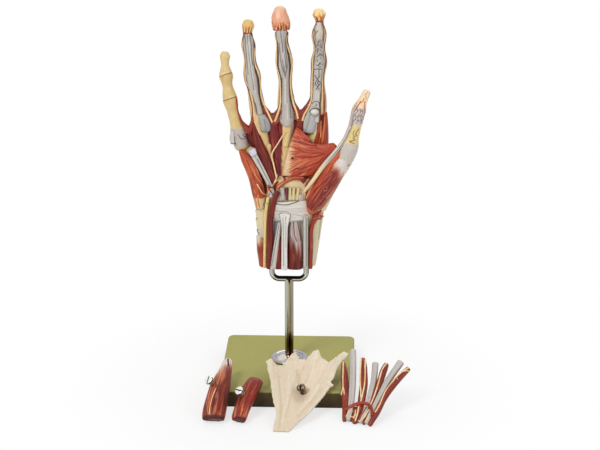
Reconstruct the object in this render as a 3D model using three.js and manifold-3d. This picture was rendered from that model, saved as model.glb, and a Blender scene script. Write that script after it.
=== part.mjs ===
// Anatomical model of a dissected right hand, palm to the front, on a fork stand with a square-cornered board.
// Four layers of the dissection lift off the palm and are set out in front, leaning on the board.
// Millimetres, +Z up, the palm faces -Y. The origin is the middle of the footprint, on the ground.
import * as THREE from "three";
import { mergeVertices } from "three/addons/utils/BufferGeometryUtils.js";
import Module from "manifold-3d";

const wasm = await Module();
wasm.setup();

// Stand
const BOARD_WIDTH = 121;
const BOARD_DEPTH = 130;
const BOARD_THICKNESS = 15;
const BOARD_CORNER_RADIUS = 6;
const BOARD_EDGE_RADIUS = 1.5;
const STEM_DIAMETER = 8;
const STEM_LENGTH = 76.5;
const STEM_SETBACK = 10;
const STUD_DIAMETER = 6;
const STUD_PROTRUSION = 1;
const STUD_CLEARANCE = 0.3;
const NUT_ACROSS_FLATS = 10;
const NUT_THICKNESS = 4.5;
const NUT_RECESS_DIAMETER = 18;
const NUT_RECESS_DEPTH = 8.6;
const WASHER_DIAMETER = 14;
const WASHER_THICKNESS = 1.2;
const ROSETTE_DIAMETER = 34;
const ROSETTE_HEIGHT = 4.5;
const FORK_BAR_DIAMETER = 5.2;
const FORK_SPACING = 31.4;
const FORK_BEND_RADIUS = 7;
const FORK_STANDOFF = 15.2;
const PRONG_REACH = 32;
const PRONG_CLEARANCE = 0.35;

// Hand, from the forearm's cut face to the tip of the middle finger
const HAND_LENGTH = 237.3;

// Fits
const SEAT_GAP = 0.3;
const CASTING_GAP = 0.32;

// Captive screws and the sockets that they enter
const SCREW_HEAD_DIAMETER = 8;
const SCREW_HEAD_THICKNESS = 2.6;
const SCREW_SLOT_WIDTH = 1;
const SCREW_SLOT_DEPTH = 1.1;
const SCREW_SHANK_DIAMETER = 3;
const SCREW_COLLAR_DIAMETER = 5.6;
const SCREW_COLLAR_HEIGHT = 2.6;
const SCREW_STANDOFF = 5.4;
const SCREW_CLEARANCE = 0.3;
const SOCKET_DIAMETER = 3.4;
const SOCKET_DEPTH = 9;

const APONEUROSIS_THICKNESS = 2.6;

// Where the loose layers lie, from the nearer side of the board
const ABDUCTOR_OVERHANG = 1.5;
const FLEXOR_INSET = 19.5;
const TENDONS_INSET = 8.5;
const TENDONS_REST_INSET = 6.5;

const PAINT = {
  board: { color: 0x9a9a58, roughness: 0.55, metalness: 0 },
  steel: { color: 0xb9b6ac, roughness: 0.25, metalness: 1 },
  bone: { color: 0xe3cf8b, roughness: 0.5, metalness: 0 },
  fascia: { color: 0xe2d3ad, roughness: 0.5, metalness: 0 },
  skin: { color: 0xe9b595, roughness: 0.5, metalness: 0 },
  tendon: { color: 0xb9bab4, roughness: 0.4, metalness: 0 },
  muscle: { color: 0xb4492c, roughness: 0.45, metalness: 0 },
  deepMuscle: { color: 0x7c2620, roughness: 0.45, metalness: 0 },
  artery: { color: 0x9c2b22, roughness: 0.35, metalness: 0 },
  nerve: { color: 0xf2cf8e, roughness: 0.4, metalness: 0 },
};
const FULL_TURN = 2 * Math.PI;
const DEPTH_AXIS = new THREE.Vector3(0, 1, 0);

// The tables of the hand and of its layers are drawn for a hand 235.5 mm long.
const handSize = HAND_LENGTH / 235.5;
const sized = (numbers) => numbers.map((value) => value * handSize);

// Solids

function fromArrays(vertices, triangles) {
  return new wasm.Manifold(
    new wasm.Mesh({
      numProp: 3,
      vertProperties: Float32Array.from(vertices),
      triVerts: Uint32Array.from(triangles),
    }),
  );
}

function solidOf(geometry) {
  const bare = geometry.clone();
  bare.deleteAttribute("normal");
  bare.deleteAttribute("uv");
  const merged = mergeVertices(bare, 1e-4);
  return fromArrays(merged.attributes.position.array, merged.index.array);
}

function geometryOf(solid) {
  const mesh = solid.getMesh();
  const geometry = new THREE.BufferGeometry();
  const count = mesh.numVert * 3;
  const position = new Float32Array(count);
  for (let i = 0; i < mesh.numVert; i++) {
    position.set(mesh.vertProperties.subarray(i * mesh.numProp, i * mesh.numProp + 3), i * 3);
  }
  geometry.setAttribute("position", new THREE.BufferAttribute(position, 3));
  geometry.setIndex(new THREE.BufferAttribute(mesh.triVerts, 1));
  geometry.computeVertexNormals();
  return geometry;
}

function unite(solids) {
  return solids.reduce((all, one) => all.add(one));
}

// The biggest body of a solid, without the crumbs that a cut leaves.
function mainBody(solid) {
  return solid.decompose().reduce((a, b) => (a.volume() > b.volume() ? a : b));
}

function addPiece(group, name, solid, paint) {
  const mesh = new THREE.Mesh(geometryOf(solid), new THREE.MeshStandardMaterial(paint));
  mesh.name = name;
  group.add(mesh);
  return mesh;
}

// A closed skin through oval sections. A drawn station is [x, y, z, half width, half depth], and the depth
// runs along the axis given. grow thickens the form all round. boxy under 1 squares the oval off. profile
// scales each point round the oval, which gives ridges along the form.
function loft(drawn, options = {}) {
  const stations = drawn.map(sized);
  const { rings = 12, grow = 0, boxy = 1, flatEnds = false, depth = DEPTH_AXIS } = options;
  const { profile = new Array(options.sides).fill(1) } = options;
  const sides = profile.length;
  const centres = new THREE.CatmullRomCurve3(stations.map((s) => new THREE.Vector3(s[0], s[1], s[2])));
  const sizes = new THREE.CatmullRomCurve3(stations.map((s) => new THREE.Vector3(s[3], s[4], 0)));
  const sections = [];
  const section = (t, slide, scale) => {
    const along = centres.getTangent(t);
    const deep = depth.clone().addScaledVector(along, -depth.dot(along)).normalize();
    const wide = deep.clone().cross(along);
    const size = sizes.getPoint(t);
    const centre = centres.getPoint(t).addScaledVector(along, slide);
    sections.push({
      centre,
      wide: wide.multiplyScalar((size.x + grow) * scale),
      deep: deep.multiplyScalar((size.y + grow) * scale),
    });
  };
  const bulge = (t) => {
    const size = sizes.getPoint(t);
    return Math.min(size.x, size.y) * 0.8 + grow;
  };
  const cap = (t, sense) => {
    section(t, sense * bulge(t) * Math.SQRT1_2, Math.SQRT1_2);
  };
  if (!flatEnds) cap(0, -1);
  for (let i = 0; i <= rings; i++) {
    const end = i === 0 ? -1 : i === rings ? 1 : 0;
    section(i / rings, flatEnds ? end * grow : 0, 1);
  }
  if (!flatEnds) cap(1, 1);
  const vertices = [];
  const oval = (value) => Math.sign(value) * Math.abs(value) ** boxy;
  for (const { centre, wide, deep } of sections) {
    for (let j = 0; j < sides; j++) {
      const angle = (FULL_TURN * j) / sides;
      const point = centre.clone().addScaledVector(wide, profile[j] * oval(Math.cos(angle)));
      point.addScaledVector(deep, profile[j] * oval(Math.sin(angle)));
      vertices.push(...point);
    }
  }
  const tip = (t, sense) => {
    const along = centres.getTangent(t);
    const reach = flatEnds ? grow : bulge(t);
    vertices.push(...centres.getPoint(t).addScaledVector(along, sense * reach));
  };
  tip(0, -1);
  tip(1, 1);
  const triangles = [];
  const last = sections.length - 1;
  const startTip = sections.length * sides;
  for (let j = 0; j < sides; j++) {
    const next = (j + 1) % sides;
    for (let i = 0; i < last; i++) {
      const a = i * sides + j;
      const b = i * sides + next;
      triangles.push(a, b, b + sides, a, b + sides, a + sides);
    }
    triangles.push(startTip, next, j);
    triangles.push(startTip + 1, last * sides + j, last * sides + next);
  }
  return fromArrays(vertices, triangles);
}

// A cylinder from one point to another.
function rod(from, to, radius, sides = 16) {
  const start = new THREE.Vector3(...from);
  const span = new THREE.Vector3(...to).sub(start);
  const geometry = new THREE.CylinderGeometry(radius, radius, span.length(), sides);
  geometry.translate(0, span.length() / 2, 0);
  const turn = new THREE.Quaternion().setFromUnitVectors(DEPTH_AXIS, span.clone().normalize());
  geometry.applyQuaternion(turn);
  geometry.translate(...start);
  return solidOf(geometry);
}

function turned(profile, sides = 28) {
  const geometry = new THREE.LatheGeometry(profile.map(([r, z]) => new THREE.Vector2(r, z)), sides);
  geometry.rotateX(Math.PI / 2);
  return solidOf(geometry);
}

// Stand: the board, its stem with the nut below, the rosette and the fork

const stemFoot = BOARD_THICKNESS + SEAT_GAP;
const forkBarRadius = FORK_BAR_DIAMETER / 2;
const forkBottom = stemFoot + STEM_LENGTH;
const armBase = forkBottom + FORK_BAR_DIAMETER + FORK_STANDOFF - forkBarRadius;

function roundedRectangle(width, depth, radius) {
  const x = width / 2;
  const y = depth / 2;
  const shape = new THREE.Shape();
  shape.moveTo(-x + radius, -y);
  shape.lineTo(x - radius, -y);
  shape.absarc(x - radius, -y + radius, radius, -Math.PI / 2, 0);
  shape.lineTo(x, y - radius);
  shape.absarc(x - radius, y - radius, radius, 0, Math.PI / 2);
  shape.lineTo(-x + radius, y);
  shape.absarc(-x + radius, y - radius, radius, Math.PI / 2, Math.PI);
  shape.lineTo(-x, -y + radius);
  shape.absarc(-x + radius, -y + radius, radius, Math.PI, 1.5 * Math.PI);
  return shape;
}

function makeBoard() {
  const inset = BOARD_EDGE_RADIUS;
  const outline = roundedRectangle(
    BOARD_WIDTH - 2 * inset,
    BOARD_DEPTH - 2 * inset,
    BOARD_CORNER_RADIUS - inset,
  );
  const geometry = new THREE.ExtrudeGeometry(outline, {
    depth: BOARD_THICKNESS - 2 * inset,
    bevelThickness: inset,
    bevelSize: inset,
    bevelSegments: 1,
    curveSegments: 4,
  });
  geometry.translate(0, -STEM_SETBACK, inset);
  const studHole = rod([0, 0, -1], [0, 0, BOARD_THICKNESS + 1], STUD_DIAMETER / 2 + STUD_CLEARANCE);
  const recess = rod([0, 0, -1], [0, 0, NUT_RECESS_DEPTH], NUT_RECESS_DIAMETER / 2, 24);
  return solidOf(geometry).subtract(studHole).subtract(recess);
}

function makeStem() {
  const radius = STEM_DIAMETER / 2;
  const studRadius = STUD_DIAMETER / 2;
  const studEnd = NUT_RECESS_DEPTH - SEAT_GAP - WASHER_THICKNESS - SEAT_GAP - NUT_THICKNESS - STUD_PROTRUSION;
  const chamfer = 0.6;
  const profile = [
    [0, studEnd],
    [studRadius - chamfer, studEnd],
    [studRadius, studEnd + chamfer],
    [studRadius, stemFoot],
    [radius, stemFoot],
    [radius, forkBottom + forkBarRadius],
    [0, forkBottom + forkBarRadius],
  ];
  return turned(profile, 20).subtract(makeFork(SEAT_GAP));
}

function makeNut() {
  const top = NUT_RECESS_DEPTH - SEAT_GAP - WASHER_THICKNESS - SEAT_GAP;
  const across = NUT_ACROSS_FLATS / Math.sqrt(3);
  const hexagon = new THREE.CylinderGeometry(across, across, NUT_THICKNESS, 6);
  hexagon.rotateX(Math.PI / 2);
  hexagon.translate(0, 0, top - NUT_THICKNESS / 2);
  const bore = rod([0, 0, -5], [0, 0, top + 5], STUD_DIAMETER / 2 + STUD_CLEARANCE);
  return solidOf(hexagon).subtract(bore);
}

function makeWasher() {
  const top = NUT_RECESS_DEPTH - SEAT_GAP;
  const inner = STUD_DIAMETER / 2 + STUD_CLEARANCE;
  const outer = WASHER_DIAMETER / 2;
  return turned([
    [inner, top - WASHER_THICKNESS],
    [outer, top - WASHER_THICKNESS],
    [outer, top],
    [inner, top],
    [inner, top - WASHER_THICKNESS],
  ], 16);
}

// A pressed rosette: a flat rim, a groove and a low dome round the stem.
function makeRosette() {
  const base = BOARD_THICKNESS + SEAT_GAP;
  const inner = STEM_DIAMETER / 2 + SEAT_GAP;
  const outer = ROSETTE_DIAMETER / 2;
  const h = ROSETTE_HEIGHT;
  return turned([
    [inner, base],
    [outer, base],
    [outer, base + 0.28 * h],
    [outer - 0.8, base + 0.4 * h],
    [outer * 0.8, base + 0.44 * h],
    [outer * 0.74, base + 0.34 * h],
    [outer * 0.66, base + 0.56 * h],
    [outer * 0.5, base + 0.8 * h],
    [outer * 0.34, base + 0.95 * h],
    [inner, base + h],
    [inner, base],
  ], 20);
}

// The U of round bar that stands in the arm. grow is for the seats that are cut to fit it.
function makeFork(grow = 0) {
  const half = FORK_SPACING / 2;
  const low = forkBottom + forkBarRadius;
  const bend = FORK_BEND_RADIUS;
  const top = armBase + PRONG_REACH;
  const r = forkBarRadius;
  const points = [[-half, 0, top], [-half, 0, low + bend]];
  const bendSteps = 4;
  for (let i = 1; i <= bendSteps; i++) {
    const angle = (Math.PI / 2) * (i / bendSteps);
    points.push([-half + bend * (1 - Math.cos(angle)), 0, low + bend * (1 - Math.sin(angle))]);
  }
  const mirrored = points.slice().reverse().map(([x, y, z]) => [-x, y, z]);
  return sweep([...points, ...mirrored], r + grow, 10);
}

// A round bar through the points, mitred at each one, for a path that lies in the XZ plane.
function sweep(points, radius, sides) {
  const path = points.map((p) => new THREE.Vector3(...p));
  const vertices = [];
  const triangles = [];
  path.forEach((point, i) => {
    const before = path[Math.max(i - 1, 0)];
    const after = path[Math.min(i + 1, path.length - 1)];
    const incoming = i > 0 ? point.clone().sub(before).normalize() : after.clone().sub(point).normalize();
    const outgoing = i < path.length - 1 ? after.clone().sub(point).normalize() : incoming;
    const along = incoming.clone().add(outgoing).normalize();
    const wide = DEPTH_AXIS.clone().cross(along);
    const mitre = 1 / Math.cos(incoming.angleTo(outgoing) / 2);
    for (let j = 0; j < sides; j++) {
      const angle = (FULL_TURN * j) / sides;
      const spot = point.clone().addScaledVector(wide, radius * mitre * Math.cos(angle));
      vertices.push(...spot.addScaledVector(DEPTH_AXIS, radius * Math.sin(angle)));
    }
  });
  vertices.push(...path[0], ...path[path.length - 1]);
  const last = path.length - 1;
  const hub = path.length * sides;
  for (let j = 0; j < sides; j++) {
    const next = (j + 1) % sides;
    for (let i = 0; i < last; i++) {
      const a = i * sides + j;
      const b = i * sides + next;
      triangles.push(a, b, b + sides, a, b + sides, a + sides);
    }
    triangles.push(hub, next, j, hub + 1, last * sides + j, last * sides + next);
  }
  return fromArrays(vertices, triangles);
}

const stand = new THREE.Group();
addPiece(stand, "base_board", makeBoard(), PAINT.board);
addPiece(stand, "base_rosette", makeRosette(), PAINT.steel);
addPiece(stand, "stem_rod", makeStem(), PAINT.steel);
addPiece(stand, "support_fork", makeFork(), PAINT.steel);
addPiece(stand, "stem_nut", makeNut(), PAINT.steel);
addPiece(stand, "stem_washer", makeWasher(), PAINT.steel);

// Hand, in its own frame: x from the stem's axis, y to the back, z up from the cut face of the forearm

// Stations of each finger's bones and sheath, from the palm to the tip.
const RAY = {
  little: [
    [-42, 1, 110, 6.4, 6.4],
    [-44.6, 0, 122, 6.6, 6.4],
    [-46.6, 0, 131, 5.2, 5.4],
    [-49, 0, 142, 4.7, 4.6],
    [-50.6, -1, 151.5, 6, 5.6],
    [-53.2, -2, 165, 4.5, 4.3],
    [-54.2, -2.5, 173.5, 6.1, 5.4],
    [-54.9, -3, 184, 3.5, 3.4],
    [-54.9, -3, 191, 4.5, 3.9],
    [-54.9, -3, 193, 3.6, 3],
  ],
  ring: [
    [-22.4, 2, 112, 6.4, 6.6],
    [-25, 2, 126, 7.4, 7.2],
    [-28.3, 1, 147, 5.9, 6],
    [-29.9, 0, 161, 5.3, 5.3],
    [-31.6, -1, 174, 7.1, 6.6],
    [-33.4, -2, 190, 4.7, 4.6],
    [-34.3, -2.5, 200, 5.7, 5],
    [-35.1, -3, 210.5, 3.9, 3.7],
    [-34.5, -3, 218, 5.4, 4.8],
    [-34.4, -3, 220, 4.6, 4],
  ],
  middle: [
    [-2.6, 2, 112, 6.6, 7],
    [-2.4, 2, 128, 7.6, 7.4],
    [-2.2, 1, 150, 6.1, 6.2],
    [-2.9, -1, 170, 5.4, 5.4],
    [-3.6, -2, 186.5, 7.2, 6.8],
    [-5.2, -2.5, 203, 5, 4.9],
    [-5.8, -3, 211, 5.9, 5.2],
  ],
  index: [
    [22.6, 2, 112, 6.6, 7],
    [24.6, 2, 127, 7.4, 7.4],
    [26, 1, 150, 5.9, 6],
    [25.5, 0, 170, 5.3, 5.4],
    [26.4, -1, 185.5, 7.2, 6.8],
    [26.7, -2, 198, 4.7, 4.8],
    [26.5, -2.5, 211, 6.4, 5.4],
    [26.8, -3, 221.5, 3.5, 3.5],
    [26.4, -3, 228, 5.8, 4.9],
    [26.1, -3, 230, 4.8, 4],
  ],
  thumb: [
    [27.6, -3, 57, 9.6, 8.5],
    [38.8, -8, 80, 10.2, 7.8],
    [48.6, -12, 98, 9.8, 7.8],
    [53.2, -15, 112, 8.8, 7.8],
    [56, -17, 125, 6, 5.8],
    [59, -18, 137, 5.4, 5.4],
    [61, -19, 147, 6.2, 5.6],
    [64.6, -20, 157, 4, 3.9],
    [67.6, -21, 164, 3.5, 3.2],
  ],
};

const FOREARM = [
  [-0.6, 1.6, 0, 24.8, 15.4],
  [0, 1.6, 20, 27.2, 15.8],
  [0.2, 1.4, 40, 29.8, 15.6],
  [1, 1, 56, 30.6, 15],
  [1.5, 0.6, 70, 27, 13.4],
  [0, 1, 82, 19, 11],
];

// The bones and ligaments of the palm, which the muscles between them are cut into.
const PALM = [
  [-1, 2, 64, 23, 10],
  [-2, 2, 82, 25.6, 7.6],
  [-6.4, 2, 98, 30.6, 6.6],
  [-9, 1.8, 111, 34.4, 5.4],
];

const bend = (stations, options) => (grow) => loft(stations, { ...options, grow });

function makeForearmAndPalm(grow) {
  const forearm = loft(FOREARM, { sides: 14, rings: 5, grow, boxy: 0.86, flatEnds: true });
  return forearm.add(loft(PALM, { sides: 12, rings: 4, grow, boxy: 0.7 }));
}

// Round a finger, point by point: the vessels and nerves stand up as a ridge low on each side.
const PLAIN_FINGER = new Array(10).fill(1);
const RIDGED_FINGER = [1, 1, 1, 1, 1, 1, 1, 0.96, 1.2, 1, 1, 1, 1, 1.2];
const finger = (name, rings, profile) => bend(RAY[name], { rings, profile });

// A flat band down the palm side of a finger. rise is how far its middle stands off the bone's front.
function frontBand(name, first, last, width, rise, foot) {
  const path = RAY[name].slice(first, last).map(([x, y, z, w, d]) => [
    x,
    y - d - rise + 1,
    z,
    Math.min(width, w * 0.72),
    1.9,
  ]);
  return bend([...foot, ...path], { sides: 6, rings: 7 });
}

const FINGERTIP_SKIN = [
  [-6, -3, 214, 7.8, 6.8],
  [-6.4, -3, 219, 7.9, 6.9],
  [-7.1, -3, 226, 7.3, 6.5],
  [-7, -3, 231, 5.4, 5],
];

const ADDUCTOR = [
  [1, -6.5, 107, 22.5, 2],
  [11, -9, 105, 18.5, 3.2],
  [22, -11, 104.5, 13, 3.8],
  [32, -13, 108.5, 7, 3.8],
  [40, -14.5, 113.5, 4.2, 3],
];

const THENAR = [
  [20, -12, 55, 6, 4.6],
  [26, -14, 64, 10.6, 7],
  [34, -15, 77, 12, 8.4],
  [42.5, -15.5, 90, 9.4, 7.6],
  [48.5, -17, 101, 6, 5.6],
];

const handShapes = [
  ["deep_ulnar_nerve", bend([
    [-2, -6.6, 126, 0.8, 0.8], [-8.6, -6, 115, 0.8, 0.8], [-15, -6.4, 105, 0.9, 0.9],
    [-13, -8.4, 95, 0.9, 0.9], [-10, -11, 84, 0.9, 0.9],
  ], { sides: 4, rings: 6 }), PAINT.nerve],
  ["deep_palmar_arch", bend([
    [-9, -13, 76, 1.9, 1.9], [-3, -11.2, 80.5, 1.7, 1.7], [5, -10.6, 83.5, 1.6, 1.6],
    [13, -12.6, 84, 1.5, 1.5],
  ], { sides: 6, rings: 6 }), PAINT.artery],
  ["ulnar_artery", bend([
    [-17.4, -14.4, 0.5, 2.4, 2.2], [-16, -15.6, 25, 2.4, 2.2], [-15.6, -16, 46, 2.3, 2.2],
    [-13, -16, 61, 2.3, 2.2], [-9.6, -15.6, 72, 2.2, 2.2],
  ], { sides: 6, rings: 7 }), PAINT.artery],
  ["ulnar_nerve", bend([
    [-21.3, -12.6, 0.5, 1.5, 1.5], [-20.8, -14, 26, 1.5, 1.5], [-20, -14.4, 52, 1.5, 1.5],
    [-18, -14.2, 66, 1.5, 1.5],
  ], { sides: 5, rings: 5 }), PAINT.nerve],
  ["radial_artery", bend([
    [19.4, -13, 0.5, 2.1, 2], [20, -14, 22, 2.1, 2], [20.4, -14.2, 38, 2.1, 2], [25, -12, 50, 2.1, 2],
    [30, -7, 56, 1.8, 1.8],
  ], { sides: 6, rings: 7 }), PAINT.artery],
  ["palmaris_longus_tendon", bend([
    [-3.6, -17.4, 0.5, 3, 1.5], [-3.4, -18, 20, 2.8, 1.5], [-3, -18.8, 40, 2.9, 1.5],
    [-2.8, -19.6, 47, 4, 1.4], [-2.8, -19.8, 53, 5.2, 1.2],
  ], { sides: 8, rings: 6, boxy: 0.75 }), PAINT.tendon],
  ["radial_flexor_tendon", bend([
    [15.4, -15.6, 0.5, 2.4, 1.9], [15.5, -16.6, 26, 2.4, 1.9], [15.4, -16.4, 50, 2.5, 1.9],
  ], { sides: 6, rings: 3 }), PAINT.tendon],
  ["superficial_flexor_tendon", bend([
    [-13.8, -15.6, 0.5, 2.6, 1.6], [-10.6, -16.6, 24, 2.3, 1.5], [-7.6, -17, 44, 1.7, 1.3],
  ], { sides: 6, rings: 4 }), PAINT.tendon],
  ["flexor_retinaculum", (grow) => loft([
    [-14, -12.5, 54, 9, 2], [-7, -15.8, 54, 9, 2.4], [2, -16.8, 54.5, 9.4, 2.6], [11, -15.8, 55, 9.4, 2.4],
    [18, -12.5, 55, 8.6, 2],
  ], { sides: 8, rings: 5, grow, boxy: 0.7 }), PAINT.tendon],
  ["carpal_tunnel_tendons", makeTunnelTendons, PAINT.tendon],
  ["long_thumb_tendon", bend([
    [14.6, -17, 74, 1.8, 1.4], [22, -20.4, 85, 2.3, 1.6], [30, -20.4, 98, 2.4, 1.6],
    [37.5, -18.6, 110, 2.4, 1.6], [45, -20.4, 122, 2.2, 1.5], [50.6, -22.2, 134, 1.8, 1.4],
  ], { sides: 6, rings: 8 }), PAINT.tendon],
  ["ring_flexor_tendon", frontBand("ring", 2, 8, 3.9, 0.9, [[-24, -7.6, 122, 3.9, 1.9]]), PAINT.tendon],
  ["middle_flexor_tendon", frontBand("middle", 2, 7, 4.1, 1.1, [[-2.2, -7.8, 126, 4.4, 2]]), PAINT.tendon],
  ["index_tendon_sheath", frontBand("index", 2, 8, 4, 1, [[24.6, -7.8, 131, 4.2, 2]]), PAINT.tendon],
  ["cut_hypothenar_tendon", bend([
    [-33, -7.4, 111, 2.8, 1.1], [-26.4, -10, 98, 2.3, 1.2], [-20.6, -12, 86, 2, 1.2],
    [-16.4, -13, 76, 1.6, 1.1],
  ], { sides: 6, rings: 4, boxy: 0.8 }), PAINT.tendon],
  ["little_finger_opponens", bend([
    [-30.4, -3, 129, 2.6, 3], [-26.2, -5, 114, 4, 4.4], [-20, -6.4, 97, 4.4, 4.6], [-13.6, -8.6, 81, 3.8, 4],
  ], { sides: 8, rings: 5 }), PAINT.deepMuscle],
  ["adductor_pollicis", bend(ADDUCTOR, { sides: 10, rings: 6 }), PAINT.muscle],
  ["thenar_muscle", bend(THENAR, { sides: 10, rings: 6 }), PAINT.muscle],
  ["hypothenar_muscle", bend([
    [-24.5, -8, 58, 6, 5], [-28, -9.6, 70, 7, 6.4], [-33, -8.6, 88, 7, 6.4], [-39.6, -5.6, 102, 5.2, 5.2],
    [-43.6, -3.6, 110, 2.8, 3],
  ], { sides: 8, rings: 6 }), PAINT.muscle],
  ["ulnar_flexor_belly", bend([
    [-9.2, -12.6, 0.5, 4.6, 4.4], [-8.6, -13, 14, 4, 4], [-7.4, -13.6, 28, 2.6, 2.6],
  ], { sides: 8, rings: 3, flatEnds: true }), PAINT.deepMuscle],
  ["radial_flexor_belly", bend([
    [5.6, -12.6, 0.5, 7.4, 5], [5.8, -13.2, 18, 7, 4.6], [5.4, -13.8, 32, 6.2, 3.8], [5, -14.2, 45, 5, 2.8],
  ], { sides: 8, rings: 4, flatEnds: true }), PAINT.muscle],
  ["ulnar_wrist_flexor", bend([
    [-22, -4, 0.5, 5, 8.4], [-23.8, -4.6, 14, 4.8, 7.4], [-26, -5.6, 27, 3, 4.4],
  ], { sides: 8, rings: 3, flatEnds: true }), PAINT.muscle],
  ["first_dorsal_interosseous", bend([
    [18, 1, 78, 6, 6], [26, 0, 96, 6.6, 7.4], [29.6, 0, 112, 5.4, 7], [30.8, 0, 128, 4, 5.4],
    [31.4, 0, 140, 2.4, 3],
  ], { sides: 8, rings: 6 }), PAINT.muscle],
  ["interosseous_middle_index", bend([
    [4, 2, 80, 5, 6.6], [7.6, 2, 102, 6, 7], [10.6, 1.4, 120, 6, 6.4], [12.2, 0.6, 136, 3.6, 4.4],
  ], { sides: 6, rings: 4 }), PAINT.deepMuscle],
  ["interosseous_ring_middle", bend([
    [-6, 2, 80, 5, 6.6], [-9.4, 2, 102, 6, 7], [-12.6, 1.4, 120, 6, 6.4], [-14.2, 0.6, 134, 3.6, 4.4],
  ], { sides: 6, rings: 4 }), PAINT.deepMuscle],
  ["interosseous_little_ring", bend([
    [-14, 3, 80, 5, 6], [-23, 3, 100, 6, 6], [-32, 2, 118, 5.4, 5.4], [-34.2, 1, 124, 3.6, 4],
  ], { sides: 6, rings: 4 }), PAINT.deepMuscle],
  ["extensor_retinaculum", (grow) => loft([
    [-27, 10.5, 50, 8, 1.8], [-16, 15.4, 50, 8, 2], [0, 17, 50, 8, 2.2], [16, 15.4, 50, 8, 2],
    [27, 10.5, 50, 8, 1.8],
  ], { sides: 8, rings: 5, grow, boxy: 0.7 }), PAINT.tendon],
  ["extensor_tendons", makeExtensorTendons, PAINT.tendon],
  ["fingertip_skin", bend(FINGERTIP_SKIN, { sides: 12, rings: 4 }), PAINT.skin],
  ["little_finger_bones", finger("little", 12, PLAIN_FINGER), PAINT.bone],
  ["ring_finger", finger("ring", 10, RIDGED_FINGER), PAINT.fascia],
  ["middle_finger", finger("middle", 8, RIDGED_FINGER), PAINT.fascia],
  ["index_finger", finger("index", 10, RIDGED_FINGER), PAINT.fascia],
  ["thumb", finger("thumb", 11, PLAIN_FINGER), PAINT.bone],
  ["forearm_and_palm", makeForearmAndPalm, PAINT.fascia],
];

// The cut ends that stand up out of the carpal tunnel, on one broad root.
function makeTunnelTendons(grow) {
  const ends = [[-5.2, 2], [-1.4, 1.2], [1.6, 1.3], [4.8, 1.3], [8.6, 1.5]];
  const stubs = ends.map(([x, width]) => loft([
    [x * 0.9, -13.6, 65, width, 1.8], [x * 1.04, -14, 76, width, 1.4],
  ], { sides: 6, rings: 1, grow }));
  const root = loft([
    [-10, -12.6, 66, 4, 2], [13, -12.6, 66, 4, 2],
  ], { sides: 6, rings: 1, grow });
  return unite([root, ...stubs]);
}

// The long extensors on the back of the hand, with the cross links that join them near the knuckles.
function makeExtensorTendons(grow) {
  const tendons = [["little", -12, -34], ["ring", -6, -21.5], ["middle", 0, -2.2], ["index", 6, 20.4]];
  const strips = tendons.map(([name, wristX, knuckleX]) => {
    const beyond = RAY[name].slice(2, 4).map(([x, y, z, , d]) => [x, y + d + 0.2, z, 2.2, 1]);
    const knuckle = RAY[name][1];
    return loft([
      [wristX, 12.6, 62, 1.7, 1.3],
      [wristX * 0.5 + knuckleX * 0.5, 11.4, 88, 1.8, 1.3],
      [knuckle[0], knuckle[1] + knuckle[4] + 0.3, knuckle[2], 2.4, 1.2],
      ...beyond,
    ], { sides: 4, rings: 5, grow });
  });
  const link = loft([
    [-38, 7.6, 112, 1.5, 0.9], [-24.4, 9.6, 108, 1.5, 0.9], [-2.4, 10.2, 106, 1.5, 0.9],
    [20, 9.6, 110, 1.5, 0.9],
  ], { sides: 4, rings: 5, grow });
  return unite([link, ...strips]);
}

// Bores that the hand's castings leave open: two for the fork's prongs, three for the captive screws.
const PALM_SOCKET = { mouth: [4.2, -8.6, 101], outward: [0, -1, 0] };
const ABDUCTOR_SOCKET = { mouth: [32.1, -22, 70], outward: [0.12, -0.99, 0] };
const FLEXOR_SOCKET = { mouth: [37.4, -22, 84], outward: [0.05, -1, 0] };

function makeHandBores() {
  const radius = forkBarRadius + PRONG_CLEARANCE;
  const sides = 12;
  const prongs = [-1, 1].map((side) => {
    const x = (side * FORK_SPACING) / 2;
    return rod([x, 0, -2], [x, 0, PRONG_REACH + 2], radius, sides);
  });
  const sockets = [PALM_SOCKET, ABDUCTOR_SOCKET, FLEXOR_SOCKET].map(({ mouth, outward }) => {
    const axis = new THREE.Vector3(...outward);
    const start = new THREE.Vector3(...sized(mouth));
    const end = start.clone().addScaledVector(axis, -SOCKET_DEPTH);
    return rod([...start.addScaledVector(axis, 12)], [...end], SOCKET_DIAMETER / 2, sides);
  });
  return unite([...prongs, ...sockets]);
}

const hand = new THREE.Group();
hand.position.z = armBase;
const belowCut = solidOf(new THREE.BoxGeometry(200, 200, 40).translate(0, 0, -20));
let taken = makeHandBores().add(belowCut);
for (const [name, shape, paint] of handShapes) {
  addPiece(hand, name, mainBody(shape(0).subtract(taken)), paint);
  taken = taken.add(shape(CASTING_GAP));
}

// Layers that lift off. Each has its own frame: x across, y up its slope, z out of its face, back at z = 0.
// The back rests on the board's front edge and the foot on the surface in front.

const boardFront = -BOARD_DEPTH / 2 - STEM_SETBACK;
const OUT_OF_FACE = new THREE.Vector3(0, 0, 1);

// A frame that leans on the board's edge at the given x, turned clockwise by yaw as seen from above.
function leaning(place) {
  const slope = THREE.MathUtils.degToRad(place.slope);
  const yaw = THREE.MathUtils.degToRad(place.yaw);
  const rounding = BOARD_EDGE_RADIUS * (Math.sin(slope) + Math.cos(slope) - 1);
  const rise = BOARD_THICKNESS + (SEAT_GAP - rounding) / Math.cos(slope);
  const sideways = Math.sin(yaw) * (place.rest - place.x);
  const group = new THREE.Group();
  group.position.set(place.x, boardFront - (rise / Math.tan(slope) - sideways) / Math.cos(yaw), 0);
  group.rotation.set(slope, 0, -yaw, "ZXY");
  return group;
}

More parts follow.
